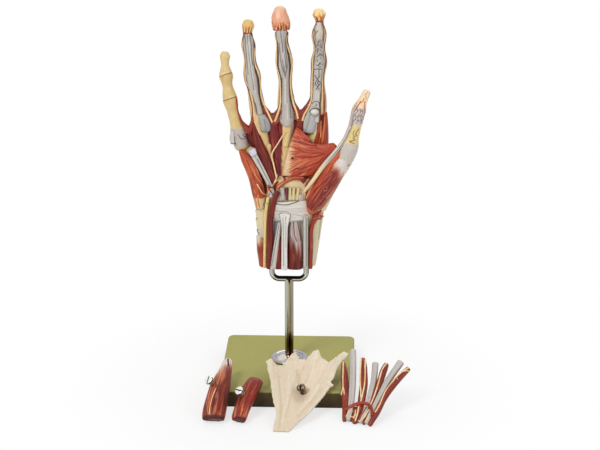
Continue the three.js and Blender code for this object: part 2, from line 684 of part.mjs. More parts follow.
// Slides a finished layer along its slope until its lowest corner stands on the surface.
function seat(layer, place) {
  layer.updateMatrixWorld(true);
  const lowest = new THREE.Box3().setFromObject(layer, true).min.z;
  layer.translateY(-lowest / Math.sin(THREE.MathUtils.degToRad(place.slope)));
}

function captiveScrew(group, name, screw) {
  const head = SCREW_HEAD_DIAMETER / 2;
  const shank = SCREW_SHANK_DIAMETER / 2;
  const collar = SCREW_COLLAR_DIAMETER / 2;
  const under = SCREW_STANDOFF;
  const top = under + SCREW_HEAD_THICKNESS;
  const body = turned([
    [0, -screw.depth],
    [shank, -screw.depth],
    [shank, SCREW_CLEARANCE],
    [collar, SCREW_CLEARANCE],
    [collar, 0.7 * SCREW_COLLAR_HEIGHT],
    [0.75 * collar, SCREW_COLLAR_HEIGHT],
    [shank, SCREW_COLLAR_HEIGHT],
    [shank, under],
    [0.86 * head, under],
    [head, under + 0.5],
    [head, top - 0.6],
    [0.84 * head, top],
    [0, top],
  ], 10);
  const slot = new THREE.BoxGeometry(SCREW_HEAD_DIAMETER + 2, SCREW_SLOT_WIDTH, 2 * SCREW_SLOT_DEPTH);
  slot.rotateZ(screw.slot);
  slot.translate(0, 0, top);
  const mesh = addPiece(group, name, body.subtract(solidOf(slot)), PAINT.steel);
  mesh.position.set(...sized(screw.seat));
  mesh.rotation.set(screw.tiltX, screw.tiltY, 0);
}

// The hole that a screw stands in, with a wider seat for its collar, in the layer's own frame.
function screwHole(screw) {
  const reach = 30;
  const axis = OUT_OF_FACE.clone().applyEuler(new THREE.Euler(screw.tiltX, screw.tiltY, 0));
  const seatPoint = new THREE.Vector3(...sized(screw.seat));
  const below = seatPoint.clone().addScaledVector(axis, -reach);
  const above = seatPoint.clone().addScaledVector(axis, reach);
  const bore = rod([...below], [...above], SCREW_SHANK_DIAMETER / 2 + SCREW_CLEARANCE, 10);
  return bore.add(rod([...seatPoint], [...above], SCREW_COLLAR_DIAMETER / 2 + SCREW_CLEARANCE, 12));
}

// Stations of a lying piece are [x, up the slope, half width, half thickness, lift off the back plane].
function lyingLoft(stations, options) {
  const raised = stations.map(([x, along, width, thickness, lift = 0]) => [
    x,
    along,
    thickness + lift,
    width,
    thickness,
  ]);
  return loft(raised, { ...options, depth: OUT_OF_FACE });
}

// A muscle's belly, cut straight across at both ends, with a captive screw through it.
function addBelly(name, place, stations, screw, rings, slit) {
  const layer = leaning(place);
  const belly = lyingLoft(stations, { sides: 12, rings, flatEnds: true }).subtract(screwHole(screw));
  addPiece(layer, name, slit ? belly.subtract(slit) : belly, PAINT.muscle);
  captiveScrew(layer, name + "_screw", screw);
  seat(layer, place);
  return layer;
}

const abductorX = -BOARD_WIDTH / 2 - ABDUCTOR_OVERHANG;
const flexorX = -BOARD_WIDTH / 2 + FLEXOR_INSET;
const ABDUCTOR_PLACE = { x: abductorX, slope: 27.4, yaw: 0, rest: abductorX };
const FLEXOR_PLACE = { x: flexorX, slope: 26.4, yaw: 0, rest: flexorX };

// Abductor of the thumb, a belly that narrows to a split tendon, and the thumb's short flexor.
const TENDON_SLIT = { x: 9.4, y: 62.6, width: 0.9, length: 14, lean: 0.17 };

function makeTendonSlit() {
  const [x, y, width, length] = sized([TENDON_SLIT.x, TENDON_SLIT.y, TENDON_SLIT.width, TENDON_SLIT.length]);
  const cutter = new THREE.BoxGeometry(width, length, 30);
  cutter.rotateZ(TENDON_SLIT.lean);
  cutter.translate(x, y, 0);
  return solidOf(cutter);
}

const abductor = addBelly(
  "abductor_pollicis_brevis",
  ABDUCTOR_PLACE,
  [
    [0.2, 0.6, 9.2, 4.8], [0.2, 3.4, 10, 5.9], [0.8, 11, 10.2, 6.4], [2.2, 23, 9.8, 6.6], [3.7, 35, 9.1, 6.1],
    [5.9, 49, 6.9, 4.8], [7.7, 61, 4.9, 3.2], [8.2, 67, 4, 2.4], [8.2, 70, 2.6, 1.6],
  ],
  { seat: [-2.2, 36, 10.2], tiltX: 0.1, tiltY: -0.55, slot: 1.3, depth: 8 },
  10,
  makeTendonSlit(),
);
const flexor = addBelly(
  "flexor_pollicis_brevis",
  FLEXOR_PLACE,
  [
    [0.8, 1.8, 5.6, 3.8], [1.6, 5, 6.6, 5], [3.4, 13, 6.9, 5.8], [6.2, 23, 7.3, 6.1], [9.6, 34, 7.7, 5.9],
    [12.4, 42, 7.5, 5], [13.7, 46, 6.9, 4.2],
  ],
  { seat: [4, 26, 10], tiltX: 0.1, tiltY: -0.5, slot: -0.5, depth: 8 },
  7,
);

// Palmar aponeurosis: a dished sheet from the wrist to the four slips at the fingers' roots, pleated to each.
// Across the sheet, each point of its far edge is [share of the width, rise of the edge, height of a pleat].
const SHEET_LEFT = [[-9.2, 0.6], [-7.4, 22], [-10.8, 36], [-14.8, 64], [-19.6, 90]];
const SHEET_RIGHT = [[4, 0.2], [20.3, 21], [33.8, 42.5], [40, 58], [45, 79], [54.8, 98]];
const SHEET_SLIPS = [
  [0, 0, 0.5], [0.06, 2.6, 1.2], [0.14, -6.6, 0.4], [0.2, -7.2, 0.1],
  [0.31, 7.6, 1], [0.35, 9, 1.1], [0.4, -0.4, 0.5], [0.48, -1, 0],
  [0.57, 9.6, 1], [0.63, 11, 1.1], [0.67, 0, 0.6], [0.76, -5.6, 0],
  [0.86, 0.4, 0.5], [0.94, 6.6, 1.1], [1, 3, 0.6],
];
const SHEET_DISH = 3;
const APONEUROSIS_PLACE = { x: 0, slope: 17.2, yaw: 0, rest: 0 };
const APONEUROSIS_SCREW = { seat: [15.4, 47, 3.2], tiltX: 0.05, tiltY: -0.3, slot: 1.5, depth: 2.2 };

function makeAponeurosis() {
  const flat = (points) => new THREE.CatmullRomCurve3(points.map(([x, y]) => new THREE.Vector3(x, y, 0)));
  const left = flat(SHEET_LEFT);
  const right = flat(SHEET_RIGHT);
  const columns = SHEET_SLIPS.length - 1;
  const rows = 7;
  const sheetPoint = (column, along) => {
    const [across, slip, pleat] = SHEET_SLIPS[column];
    const point = left.getPoint(along).lerp(right.getPoint(along), across);
    const dish = SHEET_DISH * (1 - Math.sin(Math.PI * across)) * Math.sin(Math.PI * along);
    const edge = point.y + slip * THREE.MathUtils.smoothstep(along, 0.6, 1);
    return sized([point.x, edge, dish + pleat * Math.min(1, 3 * along)]);
  };
  const vertices = [];
  const triangles = [];
  const stride = columns + 1;
  const faceSize = stride * (rows + 1);
  for (const thickness of [0, APONEUROSIS_THICKNESS]) {
    for (let i = 0; i <= rows; i++) {
      for (let j = 0; j <= columns; j++) {
        const [x, y, z] = sheetPoint(j, i / rows);
        vertices.push(x, y, z + thickness);
      }
    }
  }
  const quad = (a, b, c, d) => triangles.push(a, b, c, a, c, d);
  for (let i = 0; i < rows; i++) {
    for (let j = 0; j < columns; j++) {
      const a = i * stride + j;
      quad(a + faceSize, a + 1 + faceSize, a + 1 + stride + faceSize, a + stride + faceSize);
      quad(a, a + stride, a + stride + 1, a + 1);
    }
    const start = i * stride;
    const end = start + columns;
    quad(start, start + faceSize, start + faceSize + stride, start + stride);
    quad(end, end + stride, end + stride + faceSize, end + faceSize);
  }
  for (let j = 0; j < columns; j++) {
    const top = rows * stride + j;
    quad(j, j + 1, j + 1 + faceSize, j + faceSize);
    quad(top, top + faceSize, top + 1 + faceSize, top + 1);
  }
  return fromArrays(vertices, triangles);
}

const aponeurosis = leaning(APONEUROSIS_PLACE);
const sheet = makeAponeurosis().subtract(screwHole(APONEUROSIS_SCREW));
addPiece(aponeurosis, "palmar_aponeurosis", sheet, PAINT.fascia);
captiveScrew(aponeurosis, "palmar_aponeurosis_screw", APONEUROSIS_SCREW);
seat(aponeurosis, APONEUROSIS_PLACE);

// Long flexor layer: three tendons between four bundles of lumbricals, vessels and nerves, and the
// superficial arch across them.
const TENDON_PLACE = {
  x: BOARD_WIDTH / 2 - TENDONS_INSET,
  slope: 31,
  yaw: 20,
  rest: BOARD_WIDTH / 2 - TENDONS_REST_INSET,
};
const BUNDLES = [
  [[0.4, 1, 1.9, 2.6], [-2.6, 13, 2.7, 3], [-7.6, 29, 3.5, 3], [-12.8, 43, 3.5, 2.8], [-18.8, 58, 2.2, 2.2]],
  [[10, 1, 2.6, 2.4], [9.6, 20.5, 3.2, 2.8], [6, 40, 3.6, 3], [0.8, 56, 3.4, 2.8], [-2.6, 66, 2.2, 2.4]],
  [[18, 1, 1.1, 2.4], [18.8, 12, 1.3, 2.6], [19.2, 26, 1.9, 2.8], [19.6, 44, 2.8, 2.8], [19.2, 57, 3.2, 2.8],
    [19.3, 64, 2.5, 2.4]],
  [[24, 1, 1.9, 2.8], [26.6, 14, 2.2, 3], [28.2, 27, 2.3, 2.8], [30.6, 39, 2.6, 2.8], [35.8, 54.5, 2.8, 2.8],
    [39.8, 63.5, 2.2, 2.4]],
];
const ARCH = [
  [-1.6, 9.6, 1.3, 1.3, 4.2], [3.6, 13.4, 1.4, 1.3, 5.4], [9, 17.2, 1.5, 1.4, 5.6], [14, 18.6, 1.5, 1.4, 5.6],
  [18.6, 17.6, 1.4, 1.3, 5.6], [22, 14, 1.3, 1.3, 5.4], [24, 8.4, 1.2, 1.2, 4.8],
];
const LAYER_HOLE = [13.2, 26];

function makeVesselBundles(grow) {
  const strands = BUNDLES.map((stations) => lyingLoft(stations, { sides: 6, rings: 4, grow }));
  const root = lyingLoft([
    [0, 8, 7, 0.9], [13, 10, 8.6, 0.9], [25, 8, 7, 0.9],
  ], { sides: 8, rings: 2, grow, boxy: 0.6 });
  return unite([root, ...strands]);
}

const lying = (stations, options) => (grow) => lyingLoft(stations, { ...options, grow });
const layerShapes = [
  ["superficial_palmar_arch", lying(ARCH, { sides: 6, rings: 8 }), PAINT.artery],
  ["layer_tendon_ring", lying([
    [4.3, 0.6, 2, 1.9, 2], [3, 11, 2.4, 2, 2.2], [-2.6, 34, 3, 2.8, 0.8], [-8.8, 55, 3, 3],
    [-14.6, 73.4, 2.8, 2.9],
  ], { sides: 8, rings: 5, flatEnds: true }), PAINT.tendon],
  ["layer_tendon_middle", lying([
    [15.2, 0.6, 2.1, 1.9, 2], [16.4, 13, 2.2, 2, 2.2], [15.3, 31, 2.6, 2.6, 0.8], [13.6, 46, 2.7, 2.8],
    [9.7, 63.4, 2.9, 2.9],
  ], { sides: 8, rings: 5, flatEnds: true }), PAINT.tendon],
  ["layer_tendon_index", lying([
    [20.8, 0.6, 1.8, 1.9, 2], [22.2, 13, 2.1, 2, 2.2], [23.6, 27, 2.5, 2.6, 0.8], [25.9, 46, 2.9, 3],
    [31.7, 69, 3.2, 3.2],
  ], { sides: 8, rings: 5, flatEnds: true }), PAINT.tendon],
  ["layer_vessel_bundles", makeVesselBundles, PAINT.deepMuscle],
];

const tendonLayer = leaning(TENDON_PLACE);
const layerHole = sized(LAYER_HOLE);
let layerTaken = rod([...layerHole, -5], [...layerHole, 20], SOCKET_DIAMETER / 2, 10);
for (const [name, shape, paint] of layerShapes) {
  addPiece(tendonLayer, name, mainBody(shape(0).subtract(layerTaken)), paint);
  layerTaken = layerTaken.add(shape(CASTING_GAP));
}
seat(tendonLayer, TENDON_PLACE);

// The whole model, moved so that the origin is the middle of its footprint
const model = new THREE.Group();
model.add(stand, hand, abductor, flexor, aponeurosis, tendonLayer);
model.updateMatrixWorld(true);
const bounds = new THREE.Box3().setFromObject(model, true);
model.position.set(-(bounds.min.x + bounds.max.x) / 2, -(bounds.min.y + bounds.max.y) / 2, -bounds.min.z);

export default model;
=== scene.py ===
# Looks of the anatomical hand on its stand, with the four layers that lift off laid out in front of it.
# Every form is drawn in millimetres and placed in metres. Colours are written as display red, green and
# blue.
import math

import bpy
import numpy as np
from mathutils import Matrix, Vector
from mathutils.bvhtree import BVHTree


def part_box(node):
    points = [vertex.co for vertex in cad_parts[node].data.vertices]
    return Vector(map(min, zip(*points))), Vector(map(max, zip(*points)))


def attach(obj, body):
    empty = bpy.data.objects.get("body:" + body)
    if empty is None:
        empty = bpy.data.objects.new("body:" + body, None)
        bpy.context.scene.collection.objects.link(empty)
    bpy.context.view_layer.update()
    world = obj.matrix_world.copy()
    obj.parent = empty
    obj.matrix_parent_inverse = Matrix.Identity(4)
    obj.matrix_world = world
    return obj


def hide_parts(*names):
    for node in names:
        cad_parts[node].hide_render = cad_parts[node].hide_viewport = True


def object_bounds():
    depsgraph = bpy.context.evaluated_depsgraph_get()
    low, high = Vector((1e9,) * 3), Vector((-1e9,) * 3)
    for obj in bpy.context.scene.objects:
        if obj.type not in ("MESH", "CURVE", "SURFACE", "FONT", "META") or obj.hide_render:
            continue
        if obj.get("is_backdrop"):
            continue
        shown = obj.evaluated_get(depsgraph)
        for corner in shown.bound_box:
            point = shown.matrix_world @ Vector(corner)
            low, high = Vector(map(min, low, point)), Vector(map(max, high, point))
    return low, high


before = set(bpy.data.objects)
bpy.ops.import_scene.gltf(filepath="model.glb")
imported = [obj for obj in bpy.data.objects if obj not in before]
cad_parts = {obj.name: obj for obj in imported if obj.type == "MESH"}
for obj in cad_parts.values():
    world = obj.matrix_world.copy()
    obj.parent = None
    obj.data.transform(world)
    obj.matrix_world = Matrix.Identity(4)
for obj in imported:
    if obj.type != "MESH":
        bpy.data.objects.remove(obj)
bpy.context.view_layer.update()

# Driving sizes, in millimetres
HAND_LENGTH = 237.3
DRAWN_HAND_LENGTH = 235.5
BOARD_WIDTH = 121
BOARD_DEPTH = 130
BOARD_THICKNESS = 15
BOARD_CORNER_RADIUS = 6
BOARD_EDGE_RADIUS = 1.5
STEM_SETBACK = 10
STEM_DIAMETER = 8
STEM_LENGTH = 76.5
STUD_DIAMETER = 6
STUD_END = 1.5
NUT_RECESS_DIAMETER = 18
NUT_RECESS_DEPTH = 8.6
SEAT_GAP = 0.3
ROSETTE_DIAMETER = 34
ROSETTE_HEIGHT = 4.5
FORK_BAR_DIAMETER = 5.2
FORK_SPACING = 31.4
FORK_BEND_RADIUS = 7
PRONG_REACH = 32
SCREW_HEAD_DIAMETER = 8
SCREW_HEAD_THICKNESS = 2.6
SCREW_SLOT_WIDTH = 1
SCREW_SLOT_DEPTH = 1.1
SCREW_SHANK_DIAMETER = 3
SCREW_COLLAR_DIAMETER = 5.6
SCREW_COLLAR_HEIGHT = 2.6
SCREW_STANDOFF = 5.4
APONEUROSIS_THICKNESS = 2.6

HAND_SCALE = HAND_LENGTH / DRAWN_HAND_LENGTH
MM = 0.001
FULL_TURN = 2 * math.pi

# Camera, first of all: the photograph's height, distance and slight turn, in metres and degrees
SENSOR_WIDTH = 36
LENS = 92.88
CAMERA_ASIDE = 0.0527
CAMERA_AWAY = 1.3229
CAMERA_HEIGHT = 0.6
CAMERA_TILT = 71.08
CAMERA_TURN = 1.85

stem_low, stem_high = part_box("stem_rod")
STEM = np.array([(stem_low[0] + stem_high[0]) / 2, (stem_low[1] + stem_high[1]) / 2, 0.0])
ARM_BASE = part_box("forearm_and_palm")[0][2] / MM

camera_data = bpy.data.cameras.new("camera")
camera_data.sensor_width = SENSOR_WIDTH
camera_data.lens = LENS
camera = bpy.data.objects.new("camera", camera_data)
camera.location = (STEM[0] + CAMERA_ASIDE, STEM[1] - CAMERA_AWAY, CAMERA_HEIGHT)
camera.rotation_euler = (math.radians(CAMERA_TILT), 0, math.radians(CAMERA_TURN))
bpy.context.scene.collection.objects.link(camera)
bpy.context.scene.camera = camera


# Curves, noise and colour

def padded(points):
    """The points with one more at each end, as far beyond as the last step."""
    points = np.asarray(points, float)
    return np.vstack([2 * points[0] - points[1], points, 2 * points[-1] - points[-2]])


def spline(points, shares):
    """Places and directions on a smooth curve through the points, at these shares of the way along."""
    rows = padded(points)
    place = np.clip(shares, 0, 1) * (len(rows) - 3)
    i = np.minimum(place.astype(int), len(rows) - 4)
    w = (place - i)[:, None]
    a, b, c, d = (rows[i + k] for k in range(4))
    step = lambda p, q: np.maximum(((q - p) ** 2).sum(1, keepdims=True) ** 0.25, 1e-9)
    middle = step(b, c)
    middle = np.where(middle < 1e-4, 1, middle)
    first = np.where(step(a, b) < 1e-4, middle, step(a, b))
    last = np.where(step(c, d) < 1e-4, middle, step(c, d))
    start = ((b - a) / first - (c - a) / (first + middle) + (c - b) / middle) * middle
    end = ((c - b) / middle - (d - b) / (middle + last) + (d - c) / last) * middle
    square = -3 * b + 3 * c - 2 * start - end
    cube = 2 * b - 2 * c + start + end
    places = b + start * w + square * w**2 + cube * w**3
    slopes = start + 2 * square * w + 3 * cube * w**2
    return places, slopes


def unit(vectors):
    return vectors / np.maximum(np.linalg.norm(vectors, axis=-1, keepdims=True), 1e-12)


def smooth(low, high, value):
    share = np.clip((value - low) / (high - low), 0, 1)
    return share * share * (3 - 2 * share)


def noise(u, v, seed=0, wrap=1e9):
    """Soft random values from 0 to 1 on a lattice of unit squares, repeated after wrap squares of v."""
    iu, iv = np.floor(u), np.floor(v)
    fu, fv = u - iu, v - iv
    fu, fv = fu * fu * (3 - 2 * fu), fv * fv * (3 - 2 * fv)
    wild = lambda a, b: np.modf(np.abs(np.sin(a * 127.1 + np.mod(b, wrap) * 311.7 + seed * 74.7)
                                       * 4375.85))[0]
    near = wild(iu, iv) * (1 - fu) + wild(iu + 1, iv) * fu
    far = wild(iu, iv + 1) * (1 - fu) + wild(iu + 1, iv + 1) * fu
    return near * (1 - fv) + far * fv


def slanted(u, v, degrees, long, wide, seed=0):
    """Streaks of that length and width, in the direction given from the u axis."""
    c, s = math.cos(math.radians(degrees)), math.sin(math.radians(degrees))
    return noise((u * c + v * s) / long, (v * c - u * s) / wide, seed)


def toward(base, colour, mask):
    """The base colours, mixed towards a colour as far as the mask says."""
    goal = np.asarray(colour, float)
    return base + (goal - base) * np.clip(mask, 0, 1)[:, None]


def distance(x, z, path):
    """How far each point is from a line of straight runs."""
    best = np.full(len(x), 1e9)
    for (x0, z0), (x1, z1) in zip(path[:-1], path[1:]):
        dx, dz = x1 - x0, z1 - z0
        share = np.clip(((x - x0) * dx + (z - z0) * dz) / (dx * dx + dz * dz + 1e-12), 0, 1)
        best = np.minimum(best, np.hypot(x - x0 - share * dx, z - z0 - share * dz))
    return best


def curved(path, steps=6):
    """A line of short runs through the points, as a smooth curve."""
    points = np.array([(*p, 0) for p in path], float)
    return spline(points, np.linspace(0, 1, steps * (len(path) - 1) + 1))[0][:, :2]


def inside(x, z, outline):
    """How far each point is inside the outline, less than nothing outside it."""
    ring = list(outline) + [outline[0]]
    within = np.zeros(len(x), bool)
    for (x0, z0), (x1, z1) in zip(ring[:-1], ring[1:]):
        crossed = (z0 > z) != (z1 > z)
        within ^= crossed & (x < x0 + (z - z0) * (x1 - x0) / (z1 - z0 + 1e-9))
    away = distance(x, z, ring)
    return np.where(within, away, -away)


# Forms: points in drawn millimetres, with each point's place along and round the form

class Skin:
    def __init__(self, points, faces, share, angle, along, radius):
        self.points = points
        self.faces = faces
        self.share = share
        self.angle = angle
        self.along = along
        self.radius = radius
        self.find_normals()

    def find_normals(self):
        faces = np.array([face if len(face) == 4 else (*face, face[2]) for face in self.faces])
        a, b, c, d = (self.points[faces[:, k]] for k in range(4))
        across = np.cross(c - a, d - b)
        normals = np.zeros_like(self.points)
        for k in range(4):
            for axis in range(3):
                normals[:, axis] += np.bincount(faces[:, k], across[:, axis], len(self.points))
        self.normals = unit(normals)

    @property
    def x(self):
        return self.points[:, 0]

    @property
    def y(self):
        return self.points[:, 1]

    @property
    def z(self):
        return self.points[:, 2]

    @property
    def front(self):
        """1 where the skin faces the palm's side, 0 where it faces the back."""
        return smooth(-0.15, 0.3, -self.normals[:, 1])

    @property
    def grain(self):
        round_it = self.radius * np.cos(self.angle), self.radius * np.sin(self.angle)
        return np.column_stack([self.along, *round_it])

    def push(self, amount):
        """Moves each point along its normal."""
        self.points = self.points + self.normals * np.asarray(amount)[:, None]
        self.find_normals()
        return self

    def fibres(self, long, wide, seed=0):
        """Streaks along the form, of that length and width in millimetres, with no seam round it."""
        cells = np.maximum(np.round(FULL_TURN * self.radius / wide), 1)
        return noise(self.along / long, self.angle / FULL_TURN * cells, seed, cells)


class Paint:
    """Colours on a skin. Outlines and lines are drawn from the front: x and z on the hand, x and y on a
    layer."""
    def __init__(self, skin, base, layer=False):
        self.skin = skin
        self.u = skin.x
        self.v = skin.y if layer else skin.z
        self.face = smooth(-0.2, 0.3, skin.normals[:, 2]) if layer else skin.front
        base = np.asarray(base, float)
        self.colour = np.tile(base, (len(self.u), 1)) if base.ndim == 1 else base

    def mix(self, mask, colour):
        self.colour = toward(self.colour, colour, mask)
        return self

    def fill(self, outline, colour, soft=0.9, share=1.0):
        return self.mix(smooth(-soft / 2, soft / 2, inside(self.u, self.v, outline)) * self.face * share,
                        colour)

    def line(self, path, colour, width=0.6, soft=0.5, share=1.0):
        away = distance(self.u, self.v, curved(path))
        return self.mix((1 - smooth(width / 2 - soft / 2, width / 2 + soft / 2, away)) * self.face
                        * share, colour)

    def lines(self, paths, *colour_and_width, **options):
        for path in paths:
            self.line(path, *colour_and_width, **options)
        return self

    def dot(self, spot, radius, colour, soft=0.4):
        away = np.hypot(self.u - spot[0], self.v - spot[1])
        return self.mix((1 - smooth(radius - soft / 2, radius + soft / 2, away)) * self.face, colour)

    def muscle(self, outline, base, dark, light, degrees, seed=0, soft=0.9, wide=0.9):
        """A muscle within the outline, its fibres in the direction given."""
        mask = smooth(-soft / 2, soft / 2, inside(self.u, self.v, outline)) * self.face
        self.mix(mask, base)
        self.mix(mask * smooth(0.5, 0.85, slanted(self.u, self.v, degrees, 13, wide, seed)) * 0.85, dark)
        finer = slanted(self.u, self.v, degrees, 9, wide * 0.8, seed + 3)
        return self.mix(mask * smooth(0.6, 0.95, finer) * 0.8, light)

    def streaks(self, dark, light, seed=0, long=16, wide=0.9, amount=0.8):
        """Fibres all over, along the form."""
        self.mix(smooth(0.5, 0.85, self.skin.fibres(long, wide, seed)) * amount, dark)
        finer = self.skin.fibres(long * 0.7, wide * 0.8, seed + 3)
        return self.mix(smooth(0.6, 0.95, finer) * amount, light)


def ring_faces(rings, sides):
    """The faces between neighbouring rings of points."""
    faces = []
    for i in range(rings - 1):
        for j in range(sides):
            a, b = i * sides + j, i * sides + (j + 1) % sides
            faces.append((a, b, b + sides, a + sides))
    return faces


def joined(*skins):
    """The skins as one, each still closed by itself."""
    points, faces, start = [], [], 0
    for skin in skins:
        points.append(skin.points)
        faces += [tuple(index + start for index in face) for face in skin.faces]
        start += len(skin.points)
    keys = ("share", "angle", "along", "radius")
    rest = [np.concatenate([getattr(skin, key) for skin in skins]) for key in keys]
    return Skin(np.vstack(points), faces, *rest)


def loft(stations, rings=60, sides=48, boxy=1, flat_ends=False, depth=(0, 1, 0), floor=None):
    """A closed skin through oval sections [x, y, z, half width, half depth]. depth is the axis of the half
    depth, and flat_ends is one answer, or one for each end."""
    rows = np.asarray(stations, float)
    first_flat, last_flat = flat_ends if isinstance(flat_ends, tuple) else (flat_ends, flat_ends)
    shares = np.linspace(0, 1, rings + 1)
    centres, slopes = spline(rows[:, :3], shares)
    sizes = spline(np.column_stack([rows[:, 3:5], np.zeros(len(rows))]), shares)[0][:, :2]
    along = unit(slopes)
    depth = np.asarray(depth, float)
    deep = unit(depth - (along @ depth)[:, None] * along)
    wide = np.cross(deep, along)
    domes = np.radians([80, 65, 50, 35, 18])
    inner = (0.12, 0.3, 0.45, 0.6, 0.72, 0.82, 0.9, 0.96)
    low = [(0, -math.sin(a), math.cos(a)) for a in domes]
    high = [(rings, math.sin(a), math.cos(a)) for a in domes]
    if first_flat:
        low = [(0, 0.0, scale) for scale in inner]
    if last_flat:
        high = [(rings, 0.0, scale) for scale in inner]
    sections = low + [(i, 0.0, 1.0) for i in range(rings + 1)] + high[::-1]
    bulge = sizes.min(1) * 0.8
    angles = FULL_TURN * np.arange(sides) / sides
    oval = lambda value: np.sign(value) * np.abs(value) ** boxy
    travelled = np.concatenate([[0], np.cumsum(np.linalg.norm(np.diff(centres, axis=0), axis=1))])
    points, share, length = [], [], []
    for i, slide, scale in sections:
        centre = centres[i] + along[i] * slide * bulge[i]
        ring = centre + np.outer(oval(np.cos(angles)), wide[i]) * sizes[i, 0] * scale
        points.append(ring + np.outer(oval(np.sin(angles)), deep[i]) * sizes[i, 1] * scale)
        share.append(np.full(sides, shares[i]))
        length.append(np.full(sides, travelled[i] + slide * bulge[i]))
    count = len(sections)
    reach = [0 if first_flat else bulge[0], 0 if last_flat else bulge[-1]]
    points = np.vstack(points + [centres[0] - along[0] * reach[0], centres[-1] + along[-1] * reach[1]])
    share = np.concatenate(share + [[0, 1]])
    length = np.concatenate(length + [[-reach[0], travelled[-1] + reach[1]]])
    angle = np.concatenate([np.tile(angles, count), [0, 0]])
    faces = ring_faces(count, sides)
    first, last, end = count * sides, count * sides + 1, (count - 1) * sides
    for j in range(sides):
        faces.append((first, (j + 1) % sides, j))
        faces.append((last, end + j, end + (j + 1) % sides))
    if floor is not None:
        points[:, 2] = np.maximum(points[:, 2], floor)
    return Skin(points, faces, share, angle, length, np.full(len(points), sizes.mean()))


def tube(path, radius, sides, steps):
    """A round strand through the points, with its own radius at each one where a list is given."""
    path = np.asarray(path, float)
    radii = np.broadcast_to(radius, len(path))
    return loft(np.column_stack([path, radii, radii]), rings=steps * (len(path) - 1), sides=sides)


def turned(profile, sides=64):
    """A form turned about the z axis from [radius, z] points, closed on itself or at the axis."""
    angles = FULL_TURN * np.arange(sides) / sides
    rings = [np.column_stack([radius * np.cos(angles), radius * np.sin(angles), np.full(sides, z)])
             for radius, z in profile]
    points = np.vstack(rings)
    heights = points[:, 2]
    faces = ring_faces(len(profile), sides)
    return Skin(points, faces, heights * 0, np.tile(angles, len(profile)), heights,
                np.hypot(points[:, 0], points[:, 1]))


# Materials

EMBOSS_DEPTH = 0.0004


def new_material(name):
    """A material, its nodes, its links and its shader."""
    material = bpy.data.materials.new(name)
    material.use_nodes = True
    nodes, links = material.node_tree.nodes, material.node_tree.links
    return material, nodes, links, nodes["Principled BSDF"]


def set_inputs(node, values):
    for name, value in values.items():
        node.inputs[name].default_value = value
    return node


def attribute(nodes, name):
    node = nodes.new("ShaderNodeAttribute")
    node.attribute_name = name
    return node


def surface(name, roughness=0.45, spread=0.08, coat=0.15, grain=(0.12, 1.6), tint=(0.9, 1.08), bump=0.25,
            metal=0.0, shine=0.2):
    """A painted surface: the colours in the mesh, streaked and embossed by noise along the form."""
    material, nodes, links, shader = new_material(name)
    set_inputs(shader, {"Metallic": metal, "Coat Weight": coat, "Coat Roughness": 0.2,
                        "Specular IOR Level": shine})
    stretched = nodes.new("ShaderNodeVectorMath")
    stretched.operation = "MULTIPLY"
    stretched.inputs[1].default_value = (grain[0], grain[1], grain[1])
    streaks = set_inputs(nodes.new("ShaderNodeTexNoise"), {"Scale": 1, "Detail": 5})
    shade = set_inputs(nodes.new("ShaderNodeMapRange"), {"From Min": 0.3, "From Max": 0.7,
                                                         "To Min": tint[0], "To Max": tint[1]})
    toned = nodes.new("ShaderNodeHueSaturation")
    gloss = set_inputs(nodes.new("ShaderNodeMapRange"), {"To Min": roughness - spread, "To Max": roughness
                                                         + spread})
    emboss = set_inputs(nodes.new("ShaderNodeBump"), {"Strength": bump, "Distance": EMBOSS_DEPTH})
    links.new(attribute(nodes, "grain").outputs["Vector"], stretched.inputs[0])
    links.new(stretched.outputs["Vector"], streaks.inputs["Vector"])
    links.new(streaks.outputs["Fac"], shade.inputs["Value"])
    links.new(shade.outputs["Result"], toned.inputs["Value"])
    links.new(attribute(nodes, "paint").outputs["Color"], toned.inputs["Color"])
    links.new(toned.outputs["Color"], shader.inputs["Base Color"])
    links.new(streaks.outputs["Fac"], gloss.inputs["Value"])
    links.new(gloss.outputs["Result"], shader.inputs["Roughness"])
    links.new(streaks.outputs["Fac"], emboss.inputs["Height"])
    links.new(emboss.outputs["Normal"], shader.inputs["Normal"])
    return material


MUSCLE = surface("painted_muscle", 0.4, 0.1, 0.16, (0.14, 1.9), (0.82, 1.14), 0.5)
TENDON = surface("painted_tendon", 0.4, 0.08, 0.16, (0.1, 2.2), (0.93, 1.05), 0.3)
BONE = surface("painted_bone", 0.45, 0.08, 0.2, (0.5, 0.6), (0.94, 1.04), 0.2)
FASCIA = surface("painted_fascia", 0.48, 0.08, 0.15, (0.25, 0.9), (0.93, 1.05), 0.3)
STRAND = surface("painted_strand", 0.36, 0.06, 0.16, (0.3, 1.2), (0.9, 1.07), 0.2)
BOARD = surface("painted_board", 0.55, 0.06, 0.05, (0.25, 0.25), (0.97, 1.03), 0.12)
BRIGHT = surface("bright_metal", 0.16, 0.05, 0.0, (0.8, 0.8), (0.94, 1.04), 0.05, 1.0, 0.5)
MATERIALS = {
    "muscle": MUSCLE, "deep_muscle": MUSCLE, "tendon": TENDON, "bone": BONE, "fascia": FASCIA,
    "skin": FASCIA,
    "artery": STRAND, "nerve": STRAND, "board": BOARD, "bright_metal": BRIGHT,
}


